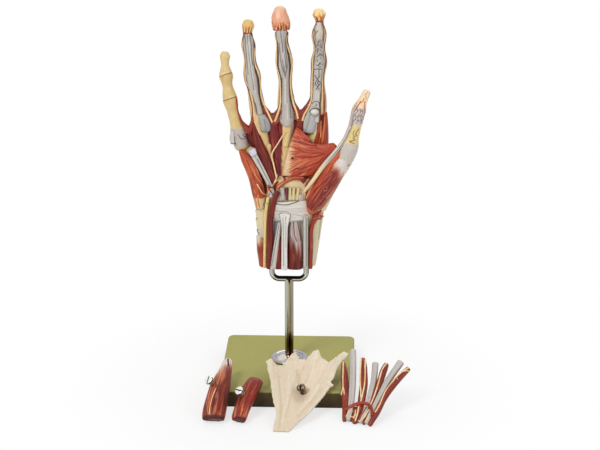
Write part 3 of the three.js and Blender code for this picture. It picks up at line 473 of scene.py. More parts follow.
def steel():
    """Plain steel for the nut and washer that hold the stem, which have no colours in their mesh."""
    material, nodes, links, shader = new_material("plain_steel")
    set_inputs(shader, {"Metallic": 1})
    patches = set_inputs(nodes.new("ShaderNodeTexNoise"), {"Scale": 900})
    ramp = nodes.new("ShaderNodeValToRGB")
    ramp.color_ramp.elements[0].color = (0.36, 0.35, 0.33, 1)
    ramp.color_ramp.elements[1].color = (0.52, 0.51, 0.49, 1)
    gloss = set_inputs(nodes.new("ShaderNodeMapRange"), {"To Min": 0.26, "To Max": 0.42})
    links.new(nodes.new("ShaderNodeTexCoord").outputs["Object"], patches.inputs["Vector"])
    links.new(patches.outputs["Fac"], ramp.inputs["Fac"])
    links.new(ramp.outputs["Color"], shader.inputs["Base Color"])
    links.new(patches.outputs["Fac"], gloss.inputs["Value"])
    links.new(gloss.outputs["Result"], shader.inputs["Roughness"])
    return material


# Frames of the hand and of the layers, from drawn millimetres to metres: x, y, z, slope and yaw in degrees

def frame_at(x, y, z, slope=0.0, yaw=0.0, scale=HAND_SCALE):
    turn = Matrix.Rotation(-math.radians(yaw), 4, "Z") @ Matrix.Rotation(math.radians(slope), 4, "X")
    spot = Vector((STEM[0] + x * MM, STEM[1] + y * MM, z * MM))
    return Matrix.Translation(spot) @ turn @ Matrix.Scale(scale * MM, 4)


STAND_FRAME = frame_at(0, 0, 0, scale=1)
HAND_FRAME = frame_at(0, 0, ARM_BASE)
ABDUCTOR_FRAME = frame_at(-62, -106.137, -1.39, 27.4)
FLEXOR_FRAME = frame_at(-41, -107.923, -1.578, 26.4)
APONEUROSIS_FRAME = frame_at(0, -123.391, -0.06, 17.2)
TENDON_FRAME = frame_at(51.658, -101.243, -0.6, 31, 20)


def as_light(shown):
    """Display colours, 0 to 1, as linear light."""
    return np.where(shown < 0.04045, shown / 12.92, ((shown + 0.055) / 1.055) ** 2.4)


def put(name, skin, place, body, nodes, slot, paint):
    """Makes the piece's mesh and hands it to its body. paint gives each point's display colour, 0 to
    255."""
    mesh = bpy.data.meshes.new(name)
    matrix = np.array(place)
    world = skin.points @ matrix[:3, :3].T + matrix[:3, 3]
    mesh.from_pydata(world.tolist(), [], [tuple(int(i) for i in face) for face in skin.faces])
    colours = paint(skin) if callable(paint) else np.tile(np.asarray(paint, float), (len(world), 1))
    if isinstance(colours, Paint):
        colours = colours.colour
    linear = as_light(np.clip(colours / 255, 0, 1))
    layer = mesh.attributes.new("paint", "FLOAT_COLOR", "POINT")
    layer.data.foreach_set("color", np.column_stack([linear, np.ones(len(world))]).ravel())
    grain = mesh.attributes.new("grain", "FLOAT_VECTOR", "POINT")
    grain.data.foreach_set("vector", skin.grain.ravel())
    mesh.polygons.foreach_set("use_smooth", [True] * len(mesh.polygons))
    mesh.validate()
    piece = bpy.data.objects.new(name, mesh)
    bpy.context.scene.collection.objects.link(piece)
    mesh.materials.append(MATERIALS[slot])
    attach(piece, body)
    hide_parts(*nodes)
    return piece


# Stand

stem_foot = BOARD_THICKNESS + SEAT_GAP
fork_bottom = stem_foot + STEM_LENGTH
fork_radius = FORK_BAR_DIAMETER / 2


def rounded_corner_square(inset, count):
    """Points round the board's outline, inset by that much, in order of angle about the stem."""
    x, y = BOARD_WIDTH / 2 - inset, BOARD_DEPTH / 2 - inset
    radius = max(BOARD_CORNER_RADIUS - inset, 0.5)
    outline = []
    for cx, cy, start in ((x - radius, y - radius, 0), (radius - x, y - radius, 90),
                          (radius - x, radius - y, 180), (x - radius, radius - y, 270)):
        for step in range(13):
            angle = math.radians(start + 90 * step / 12)
            outline.append((cx + radius * math.cos(angle), cy + radius * math.sin(angle) - STEM_SETBACK))
    closed = np.array(outline + outline[:1])
    lengths = np.concatenate([[0], np.cumsum(np.linalg.norm(np.diff(closed, axis=0), axis=1))])
    spots = np.linspace(0, lengths[-1], count, endpoint=False)
    return np.column_stack([np.interp(spots, lengths, closed[:, k]) for k in range(2)])


def board_skin():
    count = 400
    rings = []
    r = BOARD_EDGE_RADIUS
    def outline(inset, z):
        rings.append(np.column_stack([rounded_corner_square(inset, count), np.full(count, z)]))
    def circle(radius, z):
        spots = rounded_corner_square(0, count)
        angles = np.arctan2(spots[:, 1], spots[:, 0])
        rings.append(np.column_stack([radius * np.cos(angles), radius * np.sin(angles),
                                      np.full(count, z)]))
    hole = STUD_DIAMETER / 2 + SEAT_GAP
    circle(hole, BOARD_THICKNESS)
    for inset in (45, 30, 15, 6, 3):
        outline(inset, BOARD_THICKNESS)
    for step in range(9):
        angle = math.pi / 2 * step / 8
        outline(r * (1 - math.sin(angle)), BOARD_THICKNESS - r * (1 - math.cos(angle)))
    for step in range(9):
        angle = math.pi / 2 * step / 8
        outline(r * (1 - math.cos(angle)), r * (1 - math.sin(angle)))
    outline(12, 0)
    circle(NUT_RECESS_DIAMETER / 2, 0)
    circle(NUT_RECESS_DIAMETER / 2, 0.02)
    circle(NUT_RECESS_DIAMETER / 2, NUT_RECESS_DEPTH - 0.02)
    circle(NUT_RECESS_DIAMETER / 2, NUT_RECESS_DEPTH)
    circle(hole, NUT_RECESS_DEPTH)
    circle(hole, BOARD_THICKNESS)
    points = np.vstack(rings)
    faces = [(a, d, c, b) for a, b, c, d in ring_faces(len(rings), count)]
    zeros = np.zeros(len(points))
    return Skin(points, faces, points[:, 2], zeros, points[:, 0], points[:, 1] + points[:, 2])


def paint_board(skin):
    # Painted shade: the sides darker, deepest towards the bottom; the underside darker too.
    side = smooth(0.5, 0.9, np.hypot(skin.normals[:, 0], skin.normals[:, 1]))
    p = Paint(skin, (164, 159, 86))
    p.mix(smooth(0.3, 0.8, noise(skin.x / 18, skin.y / 18, 2)) * 0.35, (156, 153, 80))
    p.mix(side, (82, 70, 38))
    p.mix(side * smooth(15, 2, skin.z) * 0.5, (52, 36, 24))
    return p.mix(smooth(0.5, 0.9, -skin.normals[:, 2]), (78, 72, 46))


put("board", board_skin(), STAND_FRAME, "stand", ["base_board"], "board", paint_board)

stem_radius = STEM_DIAMETER / 2


def stem_paint(skin):
    """Painted reflections on polished metal between a white room and a painted board: bands along it, dark
    towards the board.
    """
    across = skin.x / stem_radius
    p = Paint(skin, (160, 160, 140))
    p.mix(smooth(-0.1, -0.3, across), (178, 178, 160))
    p.mix(smooth(0.24, 0.1, np.abs(across - 0.24)), (138, 122, 82))
    p.mix(smooth(0.2, 0.1, np.abs(across - 0.66)), (150, 142, 130))
    low = smooth(stem_foot + 46, stem_foot + 22, skin.z)
    p.mix(low * smooth(0.14, 0.04, np.abs(across + 0.42)), (120, 96, 90))
    p.mix(smooth(0.84, 0.94, np.abs(across)), (88, 80, 68))
    dark = smooth(stem_foot + 29, stem_foot + 16, skin.z)
    p.mix(dark * smooth(0.9, 0.6, np.abs(across - 0.1)), (78, 62, 38))
    p.mix(dark * smooth(0.36, 0.16, np.abs(across - 0.12)) * 0.9, (56, 28, 30))
    p.mix(smooth(stem_foot + 14, stem_foot + 8, skin.z) * smooth(0.2, 0.06, np.abs(across + 0.24)),
          (158, 122, 108))
    # Painted shade in the notch under the fork.
    return p.fill([(-1.5, fork_bottom + 4), (1.8, fork_bottom + 4), (0.3, fork_bottom - 1.6)],
                  (34, 30, 26), 0.5)


def fork_paint(skin):
    # Painted reflections by which way each point faces: on the prongs a painted highlight left of the
    # middle, darker to the right and at the edges; on the bar a painted highlight along its front, dark on
    # its upper side and underneath, and painted shade in the notch where the stem joins.
    nx, _, nz = skin.normals.T
    p = Paint(skin, (164, 162, 148))
    p.mix(smooth(0.24, 0.08, np.abs(nx + 0.3)), (216, 214, 202))
    p.mix(smooth(0.5, 0.7, nx) * 0.8, (118, 112, 98))
    p.mix(smooth(0.86, 0.97, np.abs(nx)), (84, 78, 68))
    bar = smooth(fork_bottom + 9, fork_bottom + 6.5, skin.z)
    p.mix(bar, (128, 124, 112))
    p.mix(bar * smooth(0.18, 0.06, np.abs(nz + 0.04)), (226, 224, 214))
    p.mix(bar * smooth(0.14, 0.26, nz), (38, 32, 28))
    p.mix(bar * smooth(0.04, 0.0, np.abs(nz - 0.62)) * 0.5, (112, 78, 60))
    p.mix(bar * smooth(-0.55, -0.75, nz), (62, 56, 48))
    notch = np.interp(nz, [-0.9, 0.2], [0.7, 2.9])
    return p.mix(bar * smooth(0.2, -0.2, np.abs(skin.x - 0.2) - notch) * p.face, (34, 30, 26))


stem_rings = [stem_foot + 0.01, *np.arange(stem_foot + 2, fork_bottom - 3, 2),
              *np.arange(fork_bottom - 2.5, fork_bottom + fork_radius, 0.25)]
put("stem", turned([
    (0.001, STUD_END), (2.4, STUD_END), (3, STUD_END + 0.6), (3, stem_foot), (stem_radius, stem_foot),
    *[(stem_radius, z) for z in stem_rings], (stem_radius, fork_bottom + fork_radius),
    (0.001, fork_bottom + fork_radius),
], 96), STAND_FRAME, "stand", ["stem_rod"], "bright_metal", stem_paint)


def rosette_paint(skin):
    # Painted reflections on polished metal: dark rings, lighter patches, a painted highlight left of the
    # stem and a warm painted reflection round it.
    p = Paint(skin, (156, 154, 160))
    p.mix(smooth(0.5, 0.2, np.abs(skin.radius - 9.4)) * 0.8, (84, 78, 78))
    p.mix(smooth(0.5, 0.2, np.abs(skin.radius - 12.6)) * 0.6, (104, 102, 108))
    p.mix(smooth(0.4, 0.1, np.abs(skin.radius - 6.6)) * 0.7, (92, 80, 74))
    p.mix(smooth(0.2, 0.8, noise(skin.angle * 1.3, skin.radius / 4, 2)) * 0.35, (176, 158, 152))
    p.mix(smooth(1.5, 0.5, np.hypot(skin.x + 6, skin.y + 6) / 5) * 0.8, (236, 224, 210))
    return p.mix(smooth(7.4, 5.6, skin.radius) * 0.4, (222, 204, 190))


rosette_outer = ROSETTE_DIAMETER / 2
rosette_inner = stem_radius + SEAT_GAP
rosette_profile = spline(np.array([
    [rosette_outer - 0.3, 0.34, 0], [rosette_outer - 0.9, 0.42, 0], [rosette_outer * 0.86, 0.46, 0],
    [rosette_outer * 0.78, 0.4, 0], [rosette_outer * 0.74, 0.33, 0], [rosette_outer * 0.7, 0.42, 0],
    [rosette_outer * 0.6, 0.66, 0], [rosette_outer * 0.48, 0.82, 0], [rosette_outer * 0.34, 0.95, 0],
    [rosette_inner, 1, 0],
]), np.linspace(0, 1, 60))[0]
rosette_points = [(rosette_inner, stem_foot), (rosette_outer, stem_foot),
                  (rosette_outer, stem_foot + 0.28 * ROSETTE_HEIGHT)]
rosette_points += [(r, stem_foot + h * ROSETTE_HEIGHT) for r, h, _ in rosette_profile]
put("rosette", turned(rosette_points + [(rosette_inner, stem_foot)], 96), STAND_FRAME, "stand",
    ["base_rosette"], "bright_metal", rosette_paint)


def fork_skin():
    half = FORK_SPACING / 2
    low = fork_bottom + fork_radius
    top = ARM_BASE + PRONG_REACH
    bend = FORK_BEND_RADIUS
    path = [(-half, 0, z) for z in np.linspace(top - 1.5, low + bend + 1, 8)]
    for step in range(13):
        angle = math.pi / 2 * step / 12
        path.append((-half + bend * (1 - math.cos(angle)), 0, low + bend * (1 - math.sin(angle))))
    path += [(x, 0, low) for x in (-5, -2.5)]
    path = path + [(0, 0, low)] + [(-x, y, z) for x, y, z in path[::-1]]
    return tube(path, fork_radius, 24, 2)


put("fork", fork_skin(), STAND_FRAME, "stand", ["support_fork"], "bright_metal", fork_paint)
PLAIN_STEEL = steel()
for node in ("stem_nut", "stem_washer"):
    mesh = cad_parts[node].data
    mesh.materials.clear()
    mesh.materials.append(PLAIN_STEEL)

# Hand: sections of each form, as [x, y, z, half width, half depth]
RAY = {
    "little": [
        [-42, 1, 110, 6.4, 6.4], [-44.6, 0, 122, 6.6, 6.4], [-46.6, 0, 131, 5.2, 5.4],
        [-49.3, 0, 142, 5, 4.6], [-51, -1, 151.5, 6.6, 5.6], [-53.2, -2, 165, 4.5, 4.3],
        [-54.2, -2.5, 173.5, 6.1, 5.4], [-54.9, -3, 184, 3.5, 3.4], [-54.9, -3, 191, 4.5, 3.9],
        [-54.9, -3, 193, 3.6, 3],
    ],
    "ring": [
        [-22.4, 2, 112, 6.4, 6.6], [-25, 2, 126, 7.4, 7.2], [-27.9, 1, 147, 6.8, 6],
        [-29.9, 0, 161, 6.1, 5.3], [-31.6, -1, 174, 7.1, 6.6], [-33.4, -2, 190, 4.7, 4.6],
        [-34.3, -2.5, 200, 5.7, 5], [-35.1, -3, 210.5, 3.9, 3.7], [-34.5, -3, 218, 5.4, 4.8],
        [-34.4, -3, 220, 4.6, 4],
    ],
    "middle": [
        [-2.6, 2, 112, 6.6, 7], [-2.4, 2, 128, 7.6, 7.4], [-2.5, 1, 150, 7.3, 6.2],
        [-3, -1, 170, 5.7, 5.4], [-3.6, -2, 186.5, 7.2, 6.8], [-5.2, -2.5, 203, 5, 4.9],
        [-5.8, -3, 211, 5.9, 5.2],
    ],
    "index": [
        [22.6, 2, 112, 6.6, 7], [24.6, 2, 127, 7.4, 7.4], [26.1, 1, 150, 7.2, 6], [25.3, 0, 170, 6, 5.4],
        [26.4, -1, 185.5, 7.2, 6.8], [26.7, -2, 198, 4.7, 4.8], [26.5, -2.5, 211, 6.4, 5.4],
        [26.8, -3, 221.5, 3.5, 3.5], [26.4, -3, 228, 5.8, 4.9], [26.1, -3, 230, 4.8, 4],
    ],
    "thumb": [
        [26.2, -3, 57, 8.4, 8.5], [36.6, -8, 80, 7.8, 7.8], [47, -12, 98, 7.8, 7.8],
        [52.6, -15, 112, 8.2, 7.8], [56, -17, 125, 6, 5.8], [59, -18, 137, 5.4, 5.4],
        [61, -19, 147, 6.2, 5.6], [64.6, -20, 157, 4, 3.9], [67.6, -21, 164, 3.5, 3.2],
    ],
}
FOREARM = [
    [-0.6, 1.6, 0, 24.8, 15.4], [0, 1.6, 20, 27.2, 15.8], [0.2, 1.4, 40, 29.8, 15.6],
    [1, 1, 56, 30.6, 15], [1.5, 0.6, 70, 27, 13.4], [0, 1, 82, 19, 11],
]
PALM = [[-1, 2, 64, 23, 10], [-2, 2, 82, 25.6, 7.6], [-6.4, 2, 98, 30.6, 6.6], [-9, 1.8, 111, 34.4, 5.4]]

# Colours that several pieces share
CREAM = (226, 208, 166)
BONE_YELLOW = (220, 194, 138)
SINEW = (192, 187, 178)
PEACH = (246, 212, 160)
# The painted shade in a tendon's grooves.
GROOVE_SHADE = (92, 84, 82)


def palm_map(p):
    """What lies in the palm: capsules, bones and muscles, each with its own edge and fibres."""
    p.fill([(-34, 136), (-33, 124), (-22, 98), (-12, 82), (14, 84), (26, 112), (28, 140), (10, 146),
            (-16, 146)], (222, 196, 148), 2)
    p.fill([(-26.2, 123.8), (-15.6, 123.3), (-14.8, 118.9), (-16, 105.7), (-16.8, 105), (-22.1, 114.5)],
           (224, 194, 136), 1.4)
    p.muscle([(-41, 133.9), (-36.7, 128.7), (-34.2, 127), (-31.7, 132.6), (-30, 129), (-27, 123.7),
              (-31.8, 119.1), (-36.2, 124.7)], (122, 34, 28), (78, 20, 20), (160, 66, 44), 118, 5)
    p.muscle([(-31, 133), (-26.2, 123.1), (-22.8, 115), (-17.9, 105.7), (-15, 96.8), (-11.8, 89.4),
              (-10.3, 82), (-12, 78), (-17.6, 89), (-23.5, 99.9), (-28.7, 109.6), (-34, 121)],
             (126, 38, 28), (82, 22, 20), (164, 72, 46), 118, 6)
    p.muscle([(-14.8, 134), (-9.1, 134), (-5.1, 130), (-5.3, 113.6), (-5.4, 104.4), (-4.7, 95.4),
              (-6, 84), (-11, 84), (-14, 100.1), (-15.8, 105.7), (-14.8, 118.9)], (122, 40, 44),
             (92, 22, 30), (168, 82, 62), 96, 7, 1.6)
    p.fill([(-5.1, 128.9), (-1.4, 131.6), (5.7, 129.8), (6.5, 124.6), (2.9, 114.9), (2.1, 100), (3, 88),
            (-1, 83), (-6, 83), (-6.1, 95.4), (-5.4, 105.9)], (228, 200, 138), 1.6)
    p.fill([(1.4, 130.7), (5.8, 129), (5, 118), (3, 110), (3, 94), (1, 85), (-1.6, 90.3), (0.7, 99.8),
            (0.7, 110.9), (1.6, 121.2)], (212, 176, 148), 2.2)
    p.muscle([(6.4, 140), (12.2, 140), (12.9, 128.8), (12.4, 123.5), (6.5, 125)], (134, 44, 32),
             (88, 22, 22), (170, 80, 50), 95, 8)
    p.fill([(13, 123.6), (25.4, 124.6), (23.9, 119.4), (21, 114), (17.5, 116), (13, 119)],
           (232, 204, 140), 1.2)
    p.fill([(13.4, 131.7), (15, 143), (27, 143), (25.4, 124.8), (18.8, 123.3), (12.6, 124)],
           (192, 184, 176), 1)
    p.line([(17.3, 139), (14.2, 125.7)], (120, 110, 116), 0.7)
    p.line([(25.6, 139), (25.5, 125.5), (23.2, 116.4)], (74, 24, 18), 1.1)
    p.muscle([(26, 141), (36, 141), (36, 113), (27.1, 112), (21.8, 114.5), (25, 121.7)], (184, 78, 44),
             (118, 34, 24), (224, 132, 84), 94, 9)
    p.fill([(26.8, 139.8), (31.1, 139.3), (31.1, 135), (29.6, 126), (28, 125.3), (27.4, 135.5)],
           (96, 26, 20), 0.7)
    p.line([(28.4, 134), (28.3, 126.1), (28.3, 122.5)], (236, 172, 120), 0.7)
    p.lines([[(20.6, 141), (21.8, 128), (20.8, 125)], [(23.2, 140), (23.6, 130)]], (170, 166, 168), 0.5,
            share=0.7)
    return little_capsule(p)


def little_capsule(p):
    """The grey capsule over the little finger's knuckle, its dark branching veins and its yellow edge."""
    p.fill([(-53, 121.7), (-50, 127), (-41, 126.6), (-35.4, 123.9), (-32.5, 117.6), (-31.1, 111.4),
            (-33.7, 110.7), (-41.8, 106.6), (-47.2, 110), (-53, 112)], (190, 180, 172), 1.2)
    p.fill([(-42.6, 107.5), (-39.1, 109.6), (-31.8, 112.9), (-30.1, 110.7), (-35.6, 106.6),
            (-38.1, 104.9)], (222, 196, 112), 1.6)
    p.fill([(-36, 114.5), (-32.6, 117), (-31.6, 112.6), (-34, 111.4)], (200, 190, 210), 1)
    veins = (84, 66, 74)
    p.line([(-44.3, 121.9), (-42.6, 119.1), (-40.6, 117.9), (-38.8, 117.2)], veins, 0.6)
    p.line([(-38.8, 119.8), (-36.8, 116.6), (-33.4, 114)], veins, 0.65)
    p.line([(-39.6, 122.2), (-40, 120.6), (-38.8, 119.2)], veins, 0.4)
    p.line([(-42.6, 119.1), (-41, 116.4)], veins, 0.35)
    p.line([(-48, 125.6), (-46.9, 121.3), (-47.1, 115.6), (-46.4, 111.6)], (150, 142, 146), 0.7,
           share=0.8)
    return p.line([(-51.6, 121), (-50.6, 113)], (232, 228, 224), 1, share=0.8)


def wrist_map(p):
    """What lies round the tunnel and down the forearm's front."""
    p.fill([(-14, 62), (-12.6, 78.6), (-4.7, 83.4), (4.9, 84.2), (12.4, 80), (14, 62)], (228, 206, 164),
           1.2)
    p.fill([(-31, 61.3), (-25, 64.5), (-22.9, 57.6), (-23.2, 42.4), (-24.8, 26.8), (-31, 29)],
           (226, 210, 168), 1.6)
    p.fill([(-32, 57), (-32, 66), (-27.8, 67), (-22.6, 67), (-23.6, 62.6), (-27, 61), (-29.6, 57.4)],
           (222, 146, 92), 1.6)
    p.lines([[(-30.6, 62), (-28, 58.6), (-28.4, 54)], [(-27, 63.6), (-26, 58), (-26.6, 53)],
             [(-24.6, 65), (-24.2, 59)]], (214, 122, 66), 0.9, share=0.9)
    p.line([(-24.8, 35.7), (-24.9, 28.1)], (206, 194, 208), 1.2)
    p.lines([[(-30.9, 44.1), (-30.2, 42.6), (-29.9, 41.8)], [(-30.4, 33.4), (-28.6, 31.4), (-26.5, 29.3)],
             [(-28.4, 32.4), (-28.6, 29.6)], [(-27.2, 23.6), (-26.3, 21.5)]], (84, 40, 30), 0.55)
    p.muscle([(-27.6, 26.4), (-21.9, 27), (-22.2, -2), (-27, -2)], (172, 72, 46), (118, 38, 28),
             (204, 116, 76), 88, 12)
    p.fill([(-20.3, 72), (-22.4, 62), (-21.2, 40), (-21.6, -2), (-16.6, -2), (-15.2, 44), (-12, 60),
            (-9, 78), (-14, 82)], (196, 148, 96), 1.4)
    # Grey painted shade in the recess between the tendons under the retinaculum.
    p.fill([(-14.9, 48.4), (-7, 49), (-6.6, 33), (-8.4, 21), (-12.6, 9), (-15.4, 8), (-15, 34.4)],
           (168, 164, 168), 1.4)
    p.muscle([(-16.4, 8), (-11, 18), (-6.6, 21), (-6.4, -2), (-17, -2)], (134, 44, 32), (92, 26, 22),
             (166, 72, 46), 96, 13)
    # Darker painted shade lines in that recess.
    p.lines([[(-11.5, 44.6), (-12.2, 38), (-12.9, 31)], [(-8.6, 47), (-8.8, 38), (-9.6, 31)]],
            (120, 116, 122), 0.7)
    p.fill([(-0.8, 50), (12.4, 50), (12.4, 24), (6, 25.4), (0.4, 34)], (180, 172, 168), 2.4)
    p.muscle([(0.4, 32), (6, 24), (12.6, 23), (12.8, -2), (-6.6, -2), (-6, 20)], (150, 54, 38),
             (96, 28, 22), (190, 104, 78), 82, 14, 3)
    p.fill([(18.6, 46), (29, 48), (27, 22.2), (24, 8), (21, -2), (17.4, -2), (19.4, 26.4)],
           (222, 212, 176), 1.6)
    p.fill([(20, 60), (31, 62), (31, 44), (21, 45)], (214, 150, 96), 2)
    p.line([(22, 44), (22.6, 30), (21.4, 10)], (214, 204, 170), 1.2)
    p.line([(28.6, 44), (26.8, 25)], (150, 146, 124), 0.9, share=0.7)
    return p


def cut_face(p):
    """The sawn end of the forearm: muscle round two bones, with its fascia at the rim."""
    skin = p.skin
    sawn = smooth(0.7, 0.9, -skin.normals[:, 2]) * (skin.z < 0.3)
    p.mix(sawn, (148, 58, 42))
    p.mix(sawn * smooth(0.45, 0.9, noise(skin.x / 1.6, skin.y / 1.6, 3)), (112, 36, 28))
    for x, y, r in ((-13, 3.4, 5.2), (12.4, 3, 6)):
        away = np.hypot(skin.x - x, skin.y - y)
        p.mix(sawn * (1 - smooth(r - 0.3, r + 0.3, away)), (230, 214, 170))
        p.mix(sawn * (1 - smooth(r * 0.45, r * 0.6, away)), (206, 170, 116))
    edge = np.hypot(skin.x / 24.8, (skin.y - 1.6) / 15.4)
    p.mix(sawn * smooth(0.9, 0.95, edge), (224, 204, 160))
    return p


def arm_paint(skin):
    p = Paint(skin, CREAM)
    p.mix(smooth(0.3, 0.8, skin.fibres(30, 3, 2)) * 0.25, (206, 184, 138))
    back = 1 - skin.front
    p.mix(back * smooth(0.5, 0.9, noise(skin.x / 2, skin.z / 30, 4)) * 0.5, (206, 172, 120))
    p.mix(back * smooth(40, 20, skin.z) * smooth(0.3, 0.6, noise(skin.x / 7, skin.z / 60, 8)),
          (166, 76, 50))
    palm_map(p)
    wrist_map(p)
    p.fill([(-30, 99), (-22, 90), (-18, 72), (-22, 64), (-32, 66), (-36, 88), (-45, 108)], (150, 66, 40),
           1.6)
    p.fill([(-36.6, 107), (-30.4, 111.4), (-26, 102.8), (-11.6, 79), (-12.4, 72), (-15, 71), (-22.6, 88),
            (-31, 100)], (196, 184, 176), 1)
    p.fill([(-5.4, 82.6), (8, 84.6), (13, 78), (22, 88), (34, 108), (38, 115), (24, 116), (10, 123),
            (3, 118)], (156, 60, 38), 1)
    p.fill([(16, 60), (30, 56), (36, 66), (50, 92), (42, 104), (14.6, 77)], (140, 50, 34), 1.6)
    return cut_face(p)


def flank(skin, low):
    """1 on the sides of a finger's front, above the given height."""
    side = smooth(0.5, 0.72, np.abs(np.cos(skin.angle))) * smooth(0.55, 0.2, np.sin(skin.angle))
    return side * smooth(low - 3, low + 2, skin.z)


# The flat bands down the fingers' palm side: height, left edge, right edge
BANDS = {
    "ring": [
        (132, -26.2, -20.6), (137, -26.3, -20.2), (143, -28, -22.3), (151, -29.4, -24.6),
        (158, -31.6, -25.9), (165, -35.1, -26.2), (172, -36.4, -26.8), (178, -37, -28.4),
        (185, -37.2, -29.4), (191, -37.6, -29.6), (200, -38.8, -29.5), (205.7, -38.8, -29.8),
        (210.4, -37.4, -32.2),
    ],
    "middle": [
        (130.4, -4.6, 3.4), (132.4, -6.6, 5), (135.6, -8.4, 6.2), (139.6, -7.8, 6.2), (143, -6.4, 4.2),
        (148, -6.1, 2.9), (154.7, -6.1, 1.5), (162, -5.8, 0.9), (173, -6.1, 0.7), (177.5, -7.2, 0.9),
        (184, -8.5, 1), (191, -8.4, 0.2), (198, -8.4, -1.1), (204, -9.1, -1.5), (209, -10.3, -1.2),
        (214, -10.6, -0.9),
    ],
    "index": [
        (134, 19, 27), (139, 18.8, 27.2), (143, 18.8, 27.4), (149, 19.8, 27.2), (156, 21, 27.8),
        (163, 21.4, 28.4), (171, 21.7, 29.1), (179, 21.9, 29.9), (186, 22.1, 31.6), (193, 22.6, 31.4),
        (200, 23, 30.4), (208, 21.8, 30.4), (215, 22, 30.8), (220.6, 24, 28.8),
    ],
}


TIP_COLOURS = {"ring": (222, 190, 124), "index": (244, 222, 164)}


def finger_paint(name, low, tip, edge_shadows):
    def paint(skin):
        p = Paint(skin, CREAM)
        p.mix(smooth(0.3, 0.8, skin.fibres(14, 1.6, 2)) * 0.35, (206, 178, 132))
        p.mix(flank(skin, low), (222, 200, 158))
        p.mix(flank(skin, low) * smooth(0.5, 0.85, skin.fibres(16, 1.4, 5)) * 0.6, (176, 140, 96))
        # Painted shadow lines beside the flat band, each side as strong as its share.
        for side, out, share in ((1, -0.5, edge_shadows[0]), (2, 0.5, edge_shadows[1])):
            p.line([(row[side] + out, row[0]) for row in BANDS[name]], (66, 50, 40), 1.5, 0.7, share)
        if tip:
            p.mix(smooth(tip - 0.5, tip + 1, skin.z), TIP_COLOURS[name])
            fringe = smooth(tip - 0.4, tip + 0.8, skin.z)
            round_it = skin.angle / FULL_TURN
            for count, seed, low_cut, top, colour in ((30, 3, 0.44, 10, (232, 164, 84)),
                                                      (40, 5, 0.5, 8, (200, 110, 46)),
                                                      (48, 4, 0.54, 6.6, (126, 60, 28)),
                                                      (40, 8, 0.62, 9, (255, 236, 190))):
                patches = noise(skin.z / 5, round_it * count, seed, count)
                threads = smooth(low_cut, low_cut + 0.14, patches)
                p.mix(threads * fringe * smooth(tip + top, tip + top - 5, skin.z) * 0.85, colour)
            p.mix(smooth(1.1, 0.5, np.abs(skin.z - tip + 0.4)) * 0.85, (140, 44, 30))
        palm_map(p)
        return p
    return paint


LITTLE_JOINTS = [[(-58.6, 173.8), (-53.6, 176.2), (-48, 176.8)],
                 [(-57.6, 151.2), (-51.1, 154.1), (-45, 155.4)]]


def little_paint(skin):
    p = Paint(skin, BONE_YELLOW)
    p.mix(smooth(0.35, 0.9, noise(skin.x / 5, skin.z / 9, 3)) * 0.5, (204, 174, 112))
    p.mix(smooth(0.5, 0.9, noise(skin.x / 3, skin.z / 3, 6)) * 0.25, (232, 212, 160))
    for path in LITTLE_JOINTS:
        p.line(path, (132, 84, 44), 0.8, 0.6)
        # A painted highlight along each joint's upper side and painted shade along its lower side.
        p.line([(x, z + 1.1) for x, z in path], (236, 218, 168), 0.9, share=0.8)
        p.line([(x, z - 1.2) for x, z in path], (204, 168, 104), 1.4, 1.4, 0.7)
    p.line([(-45.5, 152.3), (-44.4, 142.5), (-42.6, 135.7), (-40, 131.9), (-36.4, 127.4)], (190, 104, 66),
           1.4, 1)
    return palm_map(p)


def thumb_paint(skin):
    p = Paint(skin, CREAM)
    p.mix(smooth(0.3, 0.8, skin.fibres(18, 2, 2)) * 0.4, (204, 178, 130))
    p.fill([(44, 118), (66, 120), (62, 108), (57, 98), (50, 94), (44, 99), (40, 106)], (204, 196, 184),
           2.6)
    p.fill([(50, 136), (68, 132), (66, 122), (62, 117), (54, 119), (50, 120)], (230, 206, 138), 1.4)
    p.line([(61.3, 132.1), (59.7, 129.9), (58.7, 127.9), (59.4, 126.4), (57.4, 125.3), (56.8, 124),
            (58.1, 122.3), (55.4, 121.6), (53.5, 120.9), (57.5, 119.2)], (92, 56, 36), 0.6)
    p.line([(57.6, 131), (56.4, 128), (57.2, 126.4)], (110, 70, 44), 0.5)
    p.fill([(54, 137), (58, 152.4), (62, 153), (67, 151), (67.6, 131), (62.6, 136.2), (58, 136)],
           (204, 194, 188), 1.2)
    p.lines([[(56.4, 139), (58.6, 142), (57.6, 145), (60, 148), (59.6, 151)],
             [(59, 137.4), (61, 140.6), (60, 143.6), (62.6, 147), (62, 151.4)],
             [(62.6, 137), (63.6, 140), (62.4, 143.4), (64.6, 146.6), (64, 150)],
             [(57.6, 145), (60.4, 143.8), (62.8, 144.6), (65, 142)],
             [(58.6, 141), (61.4, 139.6), (64.4, 140.4)], [(59.6, 148.6), (62, 149.6), (64.6, 148)]],
            (104, 74, 70), 0.45, 0.4, 0.85)
    p.fill([(60, 151), (70, 151), (74, 170), (60, 170)], (246, 220, 182), 1.6)
    p.line([(65.6, 159.7), (64.9, 158.4), (64.3, 157), (63.3, 156.4), (62.9, 155.3)], (196, 110, 66), 0.7)
    p.line([(68.6, 165), (66.4, 163), (67.4, 160)], (214, 140, 84), 0.6)
    p.line([(62.6, 157), (59.1, 150.8), (56.4, 146.5), (55, 140.1), (54.6, 136.1), (52.4, 128)],
           (160, 74, 52), 0.8, 0.6)
    p.line([(66.2, 157), (65.8, 152), (66.6, 146)], (196, 90, 60), 0.9, share=0.8)
    p.line([(45.7, 95.9), (50, 97.2), (54, 98.6)], (110, 50, 40), 0.8)
    p.fill([(54, 98), (57, 96), (42, 64), (31, 46), (26, 46), (33.1, 60.8), (40.5, 73), (46.5, 85.8)],
           (226, 210, 166), 1.4)
    return p


# Making the hand's pieces

